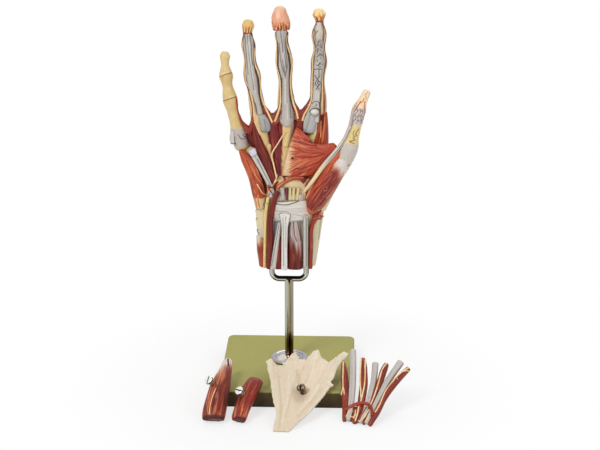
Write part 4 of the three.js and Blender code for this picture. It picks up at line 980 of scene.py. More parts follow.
# Lines drawn on skins: where their rays start, the height to look near first, and the largest step
DRAWN_FROM = 60
PALM_FRONT = -8.0
LAYER_TOP = 5.0
LARGEST_STEP = 7
hand_skins = {}
host_trees = {}


def tree_of(skin):
    return BVHTree.FromPolygons(skin.points.tolist(), skin.faces)


def on_hand(name, skin, nodes, slot, paint):
    return put(name, skin, HAND_FRAME, "hand", nodes, slot, paint)


def hand_loft(name, stations, paint, slot, node=None, relief=None, **options):
    skin = loft(stations, floor=-0.15, **options)
    if relief:
        skin.push(relief(skin))
    hand_skins[name] = skin
    return on_hand(name, skin, [node or name], slot, paint)


def ropy(long=18, wide=1.3, height=0.35, seed=0):
    """Relief of fibres along the form."""
    return lambda skin: height * (skin.fibres(long, wide, seed) - 0.5)


def front_band(name, edges, rise, thick=1.7, rings=260):
    """A flat band down a finger's palm side, wrapped round it: each edge is [z, left edge, right edge]."""
    ray = np.array(RAY[name], float)
    shares = np.linspace(0, 1, 400)
    spine = spline(ray[:, :3], shares)[0]
    sizes = spline(np.column_stack([ray[:, 3:5], ray[:, 0] * 0]), shares)[0]
    at = lambda z, values: np.interp(z, spine[:, 2], values)
    rows = []
    for z, left, right in edges:
        front = at(z, spine[:, 1]) - at(z, sizes[:, 1])
        rows.append([(left + right) / 2, front - rise + 1, z, (right - left) / 2, thick])
    skin = loft(rows, rings=rings, sides=72, boxy=0.85)
    aside = np.abs(skin.x - at(skin.z, spine[:, 0])) / at(skin.z, sizes[:, 0])
    skin.points[:, 1] += at(skin.z, sizes[:, 1]) * (1 - np.sqrt(1 - np.minimum(aside, 0.97) ** 2)) * 0.9
    skin.find_normals()
    return skin


def eased(line):
    """The line with its small steps smoothed away."""
    line = np.array(line)
    for _ in range(3):
        line[1:-1] = (line[:-2] + 2 * line[1:-1] + line[2:]) / 4
    return line


def drape(path, hosts, lift):
    """A smooth line drawn from the front, as it lies on the skins, and lifted off them by lift."""
    tree = host_tree(tuple(hosts))
    line, height = [], PALM_FRONT
    for x, z in curved(path):
        spot = tree.ray_cast(Vector((x, -DRAWN_FROM, z)), Vector((0, 1, 0)))[0]
        if spot is None or abs(spot.y - height) > LARGEST_STEP:
            spot = tree.find_nearest(Vector((x, height, z)))[0]
        height = spot.y
        line.append(tuple(spot))
    return eased(line) - np.array([0, lift, 0])


def host_tree(hosts):
    """A tree of these skins, for rays; made once for each choice of them."""
    if hosts not in host_trees:
        skins = [hand_skins[name] for name in hosts]
        host_trees[hosts] = tree_of(joined(*skins) if len(skins) > 1 else skins[0])
    return host_trees[hosts]


def strand_paint(colour, shade, long):
    """Paint for a thin vessel or nerve, shaded in patches of that length along it."""
    return lambda s: Paint(s, colour).mix(smooth(0.5, 0.9, noise(s.along / long, s.angle, 2)) * 0.7,
                                          shade)


def strands(name, paths, hosts, node, colour, slot="nerve", shade=None):
    """Thin vessels or nerves on the skins, as one piece: each path is its points in x and z, and its
    radius,
    or one for each end."""
    tubes = []
    for path, radius in paths:
        first, last = radius if isinstance(radius, tuple) else (radius, radius)
        line = drape(path, hosts, (first + last) * 0.125)
        tubes.append(tube(line, np.linspace(first, last, len(line)), 10, 1))
    skin = joined(*tubes) if len(tubes) > 1 else tubes[0]
    dark = shade or tuple(part * 0.8 for part in colour)
    return on_hand(name, skin, [node], slot, strand_paint(colour, dark, 5))


def sinew(base=SINEW, dark=GROOVE_SHADE, grooves=(), light=(), fibre=0.35, seed=0, edge=True):
    """Paint for a grey tendon: faint fibres, painted shade in the grooves drawn from the front and along
    its edges, and painted highlights along the light lines.
    """
    def paint(skin):
        p = Paint(skin, base)
        p.mix(smooth(0.45, 0.9, skin.fibres(40, 0.8, seed)) * fibre, (148, 142, 138))
        p.mix(smooth(0.5, 0.95, skin.fibres(30, 1.1, seed + 5)) * 0.5, (216, 211, 202))
        if edge:
            p.mix(smooth(0.84, 0.96, np.abs(np.cos(skin.angle))) * 0.85, (72, 60, 52))
        for path, width in grooves:
            p.line(path, dark, width, 0.5, 0.9)
        for path, width in light:
            p.line(path, (218, 214, 206), width, 0.6, 0.8)
        return p
    return paint


def sunk(paths, depth=0.3, width=0.9):
    """Relief that sinks along lines drawn from the front."""
    def relief(skin):
        away = np.full(len(skin.x), 99.0)
        for path in paths:
            away = np.minimum(away, distance(skin.x, skin.z, curved(path)))
        return -depth * smooth(width, 0, away) * skin.front + 0.12 * (skin.fibres(30, 1, 1) - 0.5)
    return relief


def sink_at(skin, spot, radius, depth):
    """A small round hole pressed into the skin from the front."""
    away = np.hypot(skin.x - spot[0], skin.z - spot[1])
    skin.points[:, 1] += depth * (1 - smooth(radius - 0.35, radius, away)) * (skin.front > 0.5)
    skin.find_normals()
    return skin


forearm = loft(FOREARM, rings=180, sides=320, boxy=0.86, flat_ends=True)
palm = loft(PALM, rings=150, sides=360, boxy=0.7)
hand_skins["arm"] = joined(forearm, palm)
on_hand("arm_and_palm", hand_skins["arm"], ["forearm_and_palm"], "fascia", arm_paint)

LITTLE_SEAMS = [[(-59, 173.8), (-53.6, 176.2), (-47, 176.8)],
                [(-59, 151.2), (-51.1, 154.1), (-44, 155.4)]]


def little_relief(skin):
    """The little finger's joints, a little sunk."""
    first, second = (distance(skin.x, skin.z, path) for path in LITTLE_SEAMS)
    return -0.35 * smooth(1, 0, np.minimum(first, second))


hand_loft("little_ray", RAY["little"], little_paint, "bone", "little_finger_bones", rings=260, sides=80,
          relief=little_relief)
for finger, low, tip, edge_shadows in (("ring", 136, 212, (0.5, 1)), ("middle", 140, 0, (0.95, 0.95)),
                                 ("index", 144, 222.6, (0.6, 0.7))):
    hand_loft(finger + "_ray", RAY[finger], finger_paint(finger, low, tip, edge_shadows), "fascia",
              finger + "_finger", rings=260, sides=80, relief=ropy(20, 1.6, 0.25, 4))
hand_loft("thumb_ray", RAY["thumb"], thumb_paint, "bone", "thumb", rings=280, sides=96,
          relief=ropy(16, 2.2, 0.2, 4))


def cap_fold(skin):
    """The fingertip skin's folds, from 0 to 1 round it."""
    return 0.5 + 0.5 * np.sin(skin.angle * 15 + 2 * np.sin(skin.angle * 3))


def cap_frill(skin):
    """1 on the frilled folds at the lower edge of the fingertip's skin, and the folds."""
    fold = cap_fold(skin)
    return smooth(0.7, -0.7, skin.z - 219 - 3.4 * fold), fold


def cap_relief(skin):
    zone, fold = cap_frill(skin)
    return zone * (0.8 * fold - 0.6) + 0.1 * (noise(skin.x / 2, skin.z / 2, 3) - 0.5)


def cap_paint(skin):
    p = Paint(skin, (232, 170, 136))
    p.mix(smooth(0.4, 0.8, noise(skin.x / 3, skin.z / 3, 2)) * 0.35, (222, 150, 116))
    p.mix(smooth(228, 236, skin.z) * 0.75, (242, 206, 172))
    # A painted highlight on the cap's left.
    p.mix(smooth(1, 0.2, np.hypot((skin.x + 8.6) / 3.2, (skin.z - 228) / 5)) * 0.7, (248, 204, 186))
    zone, fold = cap_frill(skin)
    round_it = skin.angle / FULL_TURN
    p.mix(smooth(224, 217, skin.z) * 0.5, (222, 132, 92))
    p.mix(zone, (222, 134, 86))
    # Painted shade in the folds' hollows, painted highlights on their crests.
    p.mix(zone * smooth(0.45, 0.1, fold), (150, 62, 32))
    p.mix(zone * smooth(0.75, 0.95, fold) * 0.7, (240, 178, 122))
    for count, seed, low_cut, top, colour in ((56, 3, 0.56, 223, (128, 54, 32)),
                                              (60, 7, 0.62, 222, (246, 196, 150))):
        threads = smooth(low_cut, low_cut + 0.14, noise(skin.z / 5, round_it * count, seed, count))
        p.mix(threads * smooth(top, top - 2.5, skin.z) * 0.8, colour)
    return p.mix(smooth(215.4, 214.2, skin.z - 0.8 * fold) * 0.8, (150, 66, 34))


cap = loft([[-6, -3, 214, 7.4, 6.6], [-6.2, -3, 218, 7.8, 6.8], [-6.5, -3, 221, 7.9, 6.9],
            [-7.1, -3, 226, 7.3, 6.5], [-7, -3, 231, 5.4, 5]], rings=110, sides=180,
           flat_ends=(True, False))
cap.points[:, 2] += 1.4 * cap_fold(cap) * smooth(217, 214, cap.z)
cap.find_normals()
cap.push(cap_relief(cap))
on_hand("fingertip_skin_cap", cap, ["fingertip_skin"], "skin", cap_paint)

# Flexor tendons of the fingers, with the grooves down them
RING_GROOVES = [
    [(-35, 212), (-34.7, 204.4), (-33.7, 197.9), (-33.5, 190.4), (-32.4, 183.2), (-31.7, 177.5),
     (-30.4, 170), (-29.8, 162.2)],
    [(-37, 209.2), (-36.4, 199.3), (-35.6, 187.3), (-34.6, 176)],
    [(-33, 210), (-31.6, 202), (-31.6, 192), (-30.4, 184)],
    [(-28.6, 150), (-27.2, 141), (-26.4, 134)], [(-30.4, 137.4), (-25, 139.6), (-20.6, 141)],
    [(-24.4, 150), (-22.4, 142), (-20.6, 134)],
]
MIDDLE_GROOVES = [
    [(-6.4, 215.6), (-6, 209.9), (-5, 204), (-4.7, 198.2), (-3.4, 194), (-2.2, 188.2), (-1.4, 182.3)],
    [(-7.9, 203.8), (-7.2, 196.7), (-6.5, 189.6), (-5.4, 183.8), (-2.6, 175.5)],
    [(-1, 190), (-0.9, 182.2), (-1.7, 178.5), (-2.6, 174.7)],
    [(-4.6, 190), (-4.2, 184), (-3, 178)],
    [(-1.6, 210), (-2.4, 203), (-2, 196), (-1, 190)],
    [(-5.5, 173), (-5.6, 162.3), (-6, 147.2), (-6.6, 136)],
    [(0.6, 172.7), (0.9, 162.2), (1.6, 147.2), (2.2, 136.9)],
]


def finger_tendon(finger, rise, colour, grooves, width, light):
    skin = front_band(finger, BANDS[finger], rise)
    hand_skins[finger + "_tendon"] = skin.push(sunk(grooves)(skin))
    on_hand(finger + "_tendon", skin, [finger + "_flexor_tendon"], "tendon",
            sinew(colour, grooves=[(path, width) for path in grooves], light=light))


finger_tendon("ring", 0.9, (190, 183, 176), RING_GROOVES, 0.6,
              [([(-34, 204), (-32.6, 190), (-31, 176), (-28.4, 160)], 0.9)])
finger_tendon("middle", 1.1, (186, 179, 172), MIDDLE_GROOVES, 0.65,
              [([(-4, 196), (-3.2, 186)], 0.9), ([(-2.6, 172), (-2.6, 150)], 1.3),
               ([(-1, 150), (-0.6, 136)], 1)])


def sheath_net(skin):
    """The crossed fibres of the index finger's tendon sheath."""
    one = np.abs(np.sin((skin.x * 1.15 + skin.z * 0.62 + noise(skin.x / 2, skin.z / 3, 2)) * 1.5))
    other = np.abs(np.sin((skin.x * 1.1 - skin.z * 0.55 + noise(skin.x / 2, skin.z / 3, 5)) * 1.5))
    patches = smooth(0.25, 0.55, noise(skin.x / 1.5, skin.z / 5, 9))
    net = smooth(0.34, 0.1, np.minimum(one, other)) * patches
    low_band = smooth(162, 164, skin.z) * smooth(182.5, 180.5, skin.z)
    high_band = smooth(184, 186, skin.z) * smooth(209, 205, skin.z)
    return net * (low_band + high_band) * skin.front


def index_paint(skin):
    p = sinew((202, 196, 186))(skin)
    p.mix(smooth(184, 190, skin.z) * smooth(216, 204, skin.z) * 0.35, (170, 166, 150))
    speckled = smooth(0.48, 0.7, noise(skin.x / 0.9, skin.z / 1.2, 6))
    speckled = speckled * smooth(3.6, 0.8, np.abs(skin.x - 26.8)) * skin.front
    p.mix(speckled * smooth(181, 185, skin.z) * smooth(209, 203, skin.z) * 0.9, (70, 62, 82))
    p.mix(sheath_net(skin) * 0.65, (98, 88, 104))
    ink = (74, 66, 72)
    p.lines([[(22, 181), (25.4, 181.5), (29.2, 181.2)], [(26.2, 181.4), (26.6, 177.4), (26.8, 174.1)],
             [(22.8, 175.4), (24.6, 173), (26.6, 170.2)], [(26.4, 174.6), (24.8, 171.4), (23, 167.8)],
             [(23.6, 167.6), (25.2, 165.4), (26.8, 162.8)], [(26.8, 167), (25.4, 165), (24, 162.8)],
             [(25.6, 170), (27.4, 169.6), (27.4, 167.8), (25.8, 167.8), (25.6, 170)]], ink, 0.7, 0.5, 0.9)
    p.lines([[(20, 148.3), (21.4, 150.9), (24, 152.4), (26.6, 150.9), (27, 147.9)],
             [(23.6, 150.3), (24.6, 149.1), (23.4, 148.1)]], (90, 80, 80), 0.6)
    p.line([(25.6, 160), (26, 156), (26.4, 153.6)], (226, 224, 218), 0.8, share=0.7)
    p.lines([[(22.4, 216), (23.6, 210), (22.6, 203), (22.8, 196)],
             [(30.6, 216), (29.6, 209), (30.4, 200), (30, 192)]], (150, 92, 62), 0.6, share=0.8)
    return p


index_sheath = front_band("index", BANDS["index"], 1, rings=300)
index_sheath.push(-0.25 * sheath_net(index_sheath) + 0.1 * (index_sheath.fibres(20, 1, 3) - 0.5))
hand_skins["index_sheath"] = index_sheath
on_hand("index_sheath", index_sheath, ["index_tendon_sheath"], "tendon", index_paint)


def cuff_paint(skin):
    p = Paint(skin, (212, 206, 198))
    # Painted shade round the rim and a painted highlight on the middle.
    rim = np.hypot((skin.x - 22.9) / 4.5, (skin.z - 143.1) / 3.7)
    p.mix(smooth(0.74, 0.92, rim), (84, 78, 76))
    p.mix(smooth(1.1, 0.3, np.hypot((skin.x - 22.4) / 2.4, (skin.z - 144) / 1.1)) * 0.8, (238, 236, 230))
    return p.line([(19.8, 141.6), (23, 141.2), (26.2, 142)], (140, 134, 132), 0.6, share=0.8)


hand_loft("annular_cuff", [[19.4, -6.2, 142.9, 1.8, 1.4], [21, -7.4, 143, 3.2, 1.8],
                           [23.2, -7.9, 143.1, 3.7, 2], [25.4, -7.2, 143.3, 3.1, 1.8],
                           [26.8, -5.8, 143.4, 1.7, 1.4]], cuff_paint, "tendon", "index_tendon_sheath",
          rings=60, sides=60)


def belly(base, dark, light, seed=0, wide=1.0, extra=None):
    def paint(skin):
        p = Paint(skin, base).streaks(dark, light, seed, 16, wide)
        return extra(p) if extra else p
    return paint


# Webs between the fingers, and the pulleys at the fingers' roots

def web_paint(skin):
    p = Paint(skin, (146, 50, 38)).streaks((104, 34, 28), (188, 100, 72), 7, 9, 0.9)
    # Lighter on one side and darker on the other: painted light and shade.
    p.mix(smooth(0.55, 0.9, np.cos(skin.angle)) * 0.5, (206, 140, 110))
    return p.mix(smooth(0.2, 0.7, -np.cos(skin.angle)) * 0.5, (112, 34, 28))


WEBS = {
    "web_ring_middle": ("interosseous_ring_middle", [
        [-23, 0, 147, 1.6, 2.4], [-19.9, -2, 141, 3, 3], [-16.4, -2.6, 136.8, 3.8, 3.2],
        [-13.2, -3, 135.6, 5.4, 3.4], [-10.8, -2.6, 138.6, 3.2, 3.2], [-8.4, -2, 143, 2.2, 3],
        [-7, 0, 148, 1.3, 2.4]]),
    "web_middle_index": ("interosseous_middle_index", [
        [2.8, 0, 151, 1.3, 2.4], [5.2, -2, 146.6, 2, 2.8], [7.6, -2.6, 142, 2.8, 3],
        [10.2, -3, 138.8, 5.4, 3.4], [13.2, -2.6, 141.4, 3.4, 3], [16.8, -2, 146.4, 2.8, 2.8],
        [19.6, 0, 151.6, 1.6, 2.4]]),
    "web_little_ring": ("interosseous_little_ring", [
        [-43.6, 0, 138, 1, 2], [-41.2, -2, 132.6, 1.3, 2.6], [-38, -2.6, 129, 1.8, 2.8],
        [-34.8, -3, 125.4, 3.4, 3.2], [-32.6, -2.6, 129.6, 2, 3], [-31.6, -2, 135, 1.4, 2.4],
        [-31.4, 0, 142, 1, 2]]),
}
for name, (node, stations) in WEBS.items():
    hand_loft(name, stations, web_paint, "deep_muscle", node, rings=110, sides=48,
              relief=ropy(8, 1, 0.3, 3))


def pulley_paint(base, side, split):
    """Grey bands over a finger's root; split is the dark line that parts them."""
    def paint(skin):
        p = Paint(skin, base)
        p.mix(smooth(0.45, 0.9, skin.fibres(12, 1, 4)) * 0.4, (150, 146, 144))
        line = curved(split)
        right = smooth(-0.4, 0.4, skin.x - np.interp(skin.z, line[::-1, 1], line[::-1, 0])) * skin.front
        p.mix(right * 0.8, side)
        p.line(split, (110, 102, 106), 0.7, 0.8, 0.8)
        # Painted shade along both sides and at the lower end.
        p.mix(smooth(0.86, 0.97, np.abs(np.cos(skin.angle))) * 0.7, (92, 84, 76))
        return p.mix(smooth(1.4, 0.5, skin.along) * 0.6, (96, 88, 82))
    return paint


hand_loft("ring_pulley", [[-20.4, -3.6, 124.6, 4.2, 3], [-20.4, -4.2, 128.6, 5, 3.4],
                          [-21.4, -4.4, 133, 4.9, 3.4], [-23, -4.2, 137.4, 3.6, 3]],
          pulley_paint((172, 168, 156), (160, 158, 168), [(-21.2, 136), (-20, 130), (-20.4, 123)]),
          "tendon", "ring_flexor_tendon", rings=80, sides=60, boxy=0.8, flat_ends=(True, False),
          relief=ropy(16, 1, 0.2))
hand_loft("index_pulley", [[17.8, -3.4, 123.8, 5, 3], [18.3, -4, 128, 5.7, 3.2],
                           [18.9, -4.2, 134, 5.8, 3.4], [19.8, -4.2, 139, 4.8, 3.4],
                           [20.8, -3.8, 143.4, 3.8, 3.1], [21.8, -3, 148, 2.6, 2.6]],
          pulley_paint((182, 186, 172), (184, 180, 182), [(19.2, 142), (18, 136), (16.4, 130),
                                                          (14.6, 123)]), "tendon", "index_tendon_sheath",
          rings=100, sides=64, boxy=0.8, flat_ends=(True, False), relief=ropy(16, 1, 0.2))

# Digital nerves and arteries along the fingers
FINGER_VESSEL = (156, 84, 56)
FINGER_VESSEL_SHADE = (108, 52, 36)
NERVE_SHADE = (236, 184, 120)
FINGER_NERVES = {
    "ring": [
        ([(-29.6, 199), (-28.7, 183.9), (-26.5, 178), (-25.1, 171.9), (-24.5, 164.7), (-24, 157.3),
          (-22.8, 152.1), (-20.8, 146.4), (-17.5, 140.4), (-14.3, 133.4)], (0.5, 0.9)),
        ([(-38.8, 205), (-39.4, 198.3), (-38.1, 190.7), (-37.8, 183.4), (-37.4, 176.4), (-36.9, 168.7),
          (-33.9, 163.4), (-31.8, 155.3), (-30.7, 148.4), (-30, 139.1), (-29.1, 132.8), (-27.6, 127.1),
          (-25.4, 121.5)], (0.5, 0.8)),
    ],
    "middle": [
        ([(-10.8, 211), (-9.9, 198.3), (-10.5, 189.4), (-10, 182.2), (-8.6, 177.2), (-7.3, 170.5),
          (-7, 161.5), (-6.8, 152.5), (-7.5, 147), (-9.2, 141.2), (-11.8, 134.2)], (0.5, 0.95)),
        ([(-1, 210), (-1.8, 205.2), (-0.2, 198.7), (1.6, 193.6), (3.4, 189.5), (3.3, 183.6), (2.3, 178.1),
          (1.7, 172.8), (1.8, 165.3), (2.6, 156.9), (4.2, 149.7), (6.1, 145.2), (7.5, 141.1), (8.1, 137)],
         (0.5, 0.95)),
    ],
    "index": [
        ([(23.6, 218), (22, 213.2), (20.9, 208.1), (22, 202.4), (22.4, 195.7), (21, 189.9), (21, 182),
          (20.6, 174.1), (20.6, 163), (20.4, 156.4), (19.9, 152.7), (18.1, 148.1), (16, 144), (14, 140.7),
          (12.9, 137.6), (12.2, 134.8)], (0.45, 0.9)),
        ([(30.6, 216), (31.3, 212.9), (31.1, 207.8), (30.1, 200.4), (31.1, 192.8), (31.2, 185.9),
          (29.8, 178.5), (29.5, 166.9), (29.2, 160.9), (29.5, 157.7), (29.2, 148.8), (29, 140.7)],
         (0.45, 0.6)),
    ],
}
FINGER_ARTERIES = {
    "ring": [
        ([(-31.2, 211), (-29.2, 204.1), (-28.6, 200.5), (-28.9, 193.2), (-27.6, 183.8), (-24.7, 176.8),
          (-23.8, 171.6), (-24, 164.9), (-23.4, 158.9), (-21.8, 152.6), (-19.4, 147), (-15.8, 141.8),
          (-13.2, 136.6)], 0.42),
        ([(-38, 210.8), (-40, 205), (-40, 199), (-38.8, 191), (-38.6, 180), (-38.2, 170), (-35.5, 163.3),
          (-33.8, 156.6), (-32, 148.1), (-31.6, 142.3), (-32, 136.6), (-32.8, 132.9), (-33.7, 129.3)],
         0.5),
    ],
    "middle": [
        ([(-11.8, 213.7), (-11.2, 206.2), (-10.8, 198), (-11.4, 189), (-10.8, 181.6), (-9.2, 176),
          (-8, 169), (-7.8, 160), (-7.8, 152), (-8.8, 146.4), (-11, 141.4), (-13, 137)], 0.42),
        ([(-0.2, 212), (-0.6, 205), (0.8, 199), (2.8, 193.6), (4.4, 189), (4, 182.4), (3, 176),
          (2.6, 170), (2.8, 164), (3.9, 156.7), (6.1, 152.1), (8.3, 147.2), (9.6, 142.6), (9.9, 139)],
         0.45),
    ],
    "index": [
        ([(25.6, 219.6), (22.6, 216), (20, 209), (21, 202), (21.4, 195), (19.9, 189), (19.9, 181),
          (19.5, 173), (19.2, 163), (18.8, 157), (17.2, 151.6), (15, 147), (12.6, 143), (11.2, 140.4)],
         0.42),
        ([(28.4, 220.6), (31.8, 214), (32.3, 207.8), (31.2, 200.4), (32.6, 192.8), (32.7, 185.9),
          (31, 178.5), (30.6, 166.9), (30.6, 160.9), (30.8, 152.8), (30.8, 141)], 0.42),
        ([(25.8, 142.4), (25.4, 138.4), (25.8, 133), (25.4, 127.2)], 0.6),
        ([(31.6, 158), (31.6, 150), (31.4, 142)], 0.35),
    ],
}
for finger in FINGER_NERVES:
    hosts = [finger + "_ray", "arm", *WEBS]
    strands(finger + "_nerves", FINGER_NERVES[finger], hosts, finger + "_finger", PEACH,
            shade=NERVE_SHADE)
    strands(finger + "_arteries", FINGER_ARTERIES[finger], hosts, finger + "_finger", FINGER_VESSEL,
            "artery", shade=FINGER_VESSEL_SHADE)
strands("fingertip_twigs", [
    ([(25.2, 215), (23.4, 212.4), (21.4, 209.6), (22.2, 206.4), (23.4, 203.4), (23.8, 200)], 0.35),
    ([(24.2, 220), (22.6, 216.6), (23.8, 213.6)], 0.3),
    ([(28.4, 220), (29.8, 215.6), (30.6, 210.6), (31, 205)], 0.35),
    ([(29.6, 217.6), (31.6, 212), (30.4, 207.6), (31.4, 203)], 0.28),
    ([(22.4, 204), (22, 199.6), (23, 196.4)], 0.28),
], ["index_ray", "index_sheath"], "index_finger", (170, 112, 76), "artery", shade=(116, 66, 44))
strands("little_artery", [
    ([(-46, 156), (-45.5, 152.3), (-44.4, 147.7), (-43.9, 141.5), (-42.2, 135.5), (-39.5, 131.7),
      (-36.4, 128.5)], 0.55),
], ["little_ray", "arm", "web_little_ring"], "little_finger_bones", (160, 56, 38), "artery",
    shade=(104, 30, 24))

# Muscles of the palm, and the holes that take the captive screws: x and z
PALM_HOLE = (3.5, 101.4)
THENAR_HOLE = (32.9, 77.4)
ADDUCTOR = [[1, -6.5, 106.6, 23, 2], [11, -9, 103.8, 20, 3.2], [22, -11, 103, 15.4, 3.8],
            [32, -13, 107.5, 9, 3.8], [40.6, -14.5, 113, 5, 3]]
THENAR = [[19.6, -12, 55, 5.6, 4.6], [24.8, -14, 64, 9, 7], [32, -15, 77, 9.9, 8.4],
          [40.8, -15.5, 90, 8.2, 7.6], [47.6, -17, 101, 5.6, 5.6]]
FURROWS = [
    [(4.3, 117.2), (10.3, 115.6), (17.6, 114.7), (24.9, 114.3)],
    [(5.8, 110.8), (10.3, 109.1), (14.7, 107.6), (23.5, 107.9), (30.8, 108.4)],
    [(5.1, 103.3), (10.3, 103.5), (17.6, 103.3), (25, 105), (32.2, 107.7)],
    [(6.6, 92.7), (10.3, 92.2), (14.7, 94.1), (20.6, 96.8), (26.4, 99.5)],
    [(1.4, 88.3), (4.4, 91), (8.1, 92.9), (10.3, 91.4)], [(8, 121), (14, 118.4), (21, 116.6)],
    [(9, 87), (15, 89.6), (20.6, 92.6)],
]
PALE_TIPS = [
    [(1.4, 108.8), (5.1, 107.8)], [(2.1, 102.9), (5.1, 104.8)], [(2.9, 93.9), (5.9, 97.3), (11.8, 101)],
    [(-0.1, 86.5), (5.1, 93.4), (11, 97.8)],
    [(4.4, 97.2), (10.3, 101.6)], [(3, 112.6), (8, 112)], [(4, 118.8), (9, 117.6)],
    [(6, 123.6), (11, 120.6)],
]


def fan(skin, count, seed):
    """Streaks that spread from the adductor's narrow end."""
    dx, dz = skin.x - 36, skin.z - 111
    return noise(np.hypot(dx, dz) / 11, np.arctan2(dz, dx) % FULL_TURN * count, seed)


def adductor_paint(skin):
    p = Paint(skin, (190, 76, 50))
    p.mix(smooth(0.45, 0.8, fan(skin, 34, 1)) * 0.65, (150, 50, 38))
    p.mix(smooth(0.5, 0.9, fan(skin, 46, 4)) * 0.8, (216, 112, 78))
    p.mix(smooth(0.6, 0.85, fan(skin, 70, 9)) * 0.5, (104, 34, 24))
    p.mix(smooth(22, 12, skin.x) * smooth(0.6, 0.9, fan(skin, 44, 6)) * 0.7, (232, 156, 106))
    left = skin.x - 0.6 + 0.12 * np.abs(skin.z - 104) - 5 * fan(skin, 60, 8)
    p.mix(smooth(3.4, -1, left) * skin.front * 0.8, (228, 170, 134))
    p.mix(smooth(0.6, -2.4, left) * skin.front, (232, 200, 156))
    p.lines(PALE_TIPS, (232, 178, 132), 0.6, 0.8, 0.6)
    # Painted shade in the sunk furrows.
    p.lines(FURROWS, (96, 28, 20), 0.7, 0.9, 0.75)
    # Painted shade inside the screw's hole.
    p.dot(PALM_HOLE, 1.1, (52, 18, 16))
    return p.mix((1 - skin.front) * 0.5, (120, 42, 30))


adductor = loft(ADDUCTOR, rings=170, sides=220)
furrows = np.full(len(adductor.x), 99.0)
for path in FURROWS:
    furrows = np.minimum(furrows, distance(adductor.x, adductor.z, curved(path)))
adductor.push((0.35 * (fan(adductor, 34, 1) - 0.5) - 0.45 * smooth(1.3, 0, furrows)) * adductor.front)
hand_skins["adductor"] = sink_at(adductor, PALM_HOLE, 1.3, 1.6)
on_hand("adductor", adductor, ["adductor_pollicis"], "muscle", adductor_paint)


def thenar_paint(skin):
    across, up = skin.x * 0.84 - skin.z * 0.55, skin.x * 0.55 + skin.z * 0.84
    p = Paint(skin, (148, 56, 40))
    p.mix(smooth(-16.6, -20.4, across + 2 * noise(across / 2, up / 9, 2)), (192, 78, 50))
    p.mix(smooth(4, 1.6, np.abs(across + 15.4 + 0.03 * (up - 90))) * 0.75, (122, 40, 34))
    p.mix(smooth(-8, -3, across) * 0.6, (166, 84, 66))
    p.streaks((112, 36, 30), (204, 104, 76), 1, 18, 1.0, 0.65)
    p.mix(smooth(0.55, 0.85, noise(across / 0.7, up / 15, 4)) * 0.6, (108, 34, 28))
    p.mix(smooth(0.62, 0.9, noise(across / 0.8, up / 12, 8)) * 0.6, (216, 126, 94))
    flecks = smooth(0.62, 0.8, noise(across / 0.9, up / 1.6, 9))
    flecks = flecks * smooth(0.4, 0.7, noise(across / 3, up / 7, 3))
    p.mix(flecks * smooth(-15, -12, across) * smooth(84, 78, up) * p.face * 0.6, (222, 160, 130))
    # Painted shade in the sunk crease.
    p.line([(22.6, 74), (30, 82.6), (37, 88.6), (43, 93.6)], (82, 24, 22), 0.8, 0.8, 0.8)
    p.mix(smooth(0.5, 0.9, np.cos(skin.angle)) * 0.45, (196, 160, 132))
    pale = up - 103 + 5 * (noise(across / 1.1, up / 14, 4) - 0.5) + 0.35 * (across + 12)
    p.mix(smooth(-6, 0, pale) * 0.85, (212, 146, 120))
    p.mix(smooth(-2, 3.6, pale), (222, 212, 206))
    p.fill([(10, 66), (14, 60), (22, 55), (29, 52), (24, 49), (10, 56)], (198, 106, 72), 2)
    p.dot(THENAR_HOLE, 1.5, (196, 128, 104), 0.8)
    # Painted shade inside the screw's hole.
    return p.dot(THENAR_HOLE, 0.9, (70, 34, 30))


thenar = loft(THENAR, rings=150, sides=190)
crease = distance(thenar.x, thenar.z, curved([(20.6, 74), (28.8, 82.6), (36.1, 88.6), (43, 93.6)]))
thenar.push((0.4 * (thenar.fibres(16, 1.3, 1) - 0.5) - 0.4 * smooth(1.2, 0, crease)) * thenar.front)
hand_skins["thenar"] = sink_at(thenar, THENAR_HOLE, 1.2, 1.6)
on_hand("thenar", thenar, ["thenar_muscle"], "muscle", thenar_paint)


def hypothenar_tendon_paint(skin):
    p = sinew((194, 188, 180), grooves=[([(-27, 101), (-21, 88), (-14.6, 75)], 0.5),
                                        ([(-34, 105), (-27.6, 93), (-20.6, 80)], 0.4)],
              light=[([(-31.6, 103), (-24.4, 92), (-17.4, 79)], 1.1)])(skin)
    p.mix(smooth(5.4, 4.2, skin.along) * p.face, (214, 208, 220))
    return p.line([(-34, 103), (-31.4, 102.4), (-28.6, 104), (-27.6, 106)], (128, 116, 116), 0.6,
                  share=0.7)


def hypothenar_lines(p):
    p.fill([(-40, 66.6), (-33, 67), (-30, 64.6), (-27, 67.2), (-24, 65.6), (-14, 67), (-14, 50),
            (-40, 50)], (228, 206, 160), 1.4)
    p.lines([[(-33, 68), (-31.4, 62.6), (-30.6, 57)], [(-30, 67), (-28.6, 61), (-28.4, 55)],
             [(-26.6, 69), (-26.4, 62), (-25.6, 57)]], (216, 126, 72), 1.3, 0.8)
    p.mix(smooth(-24, -18, p.skin.x + (p.skin.z - 74) * 0.35) * p.face * 0.55, (132, 50, 34))
    p.lines([[(-30.3, 88.9), (-26.3, 83.4), (-22.8, 77.3), (-20.6, 71.1)],
             [(-27.9, 92.4), (-24, 82.6), (-20.3, 76.7)], [(-29.9, 82.4), (-26.3, 76.9), (-23.5, 71.3)],
             [(-33.6, 95), (-31.4, 90)], [(-31.8, 76.6), (-29, 71)]], (240, 176, 122), 0.5, share=0.9)
    p.lines([[(-36.4, 100), (-32, 90), (-28.6, 80)], [(-29, 97), (-25, 90)], [(-33.4, 84), (-31, 74)]],
            (112, 36, 26), 0.7, 0.7, 0.8)
    return p


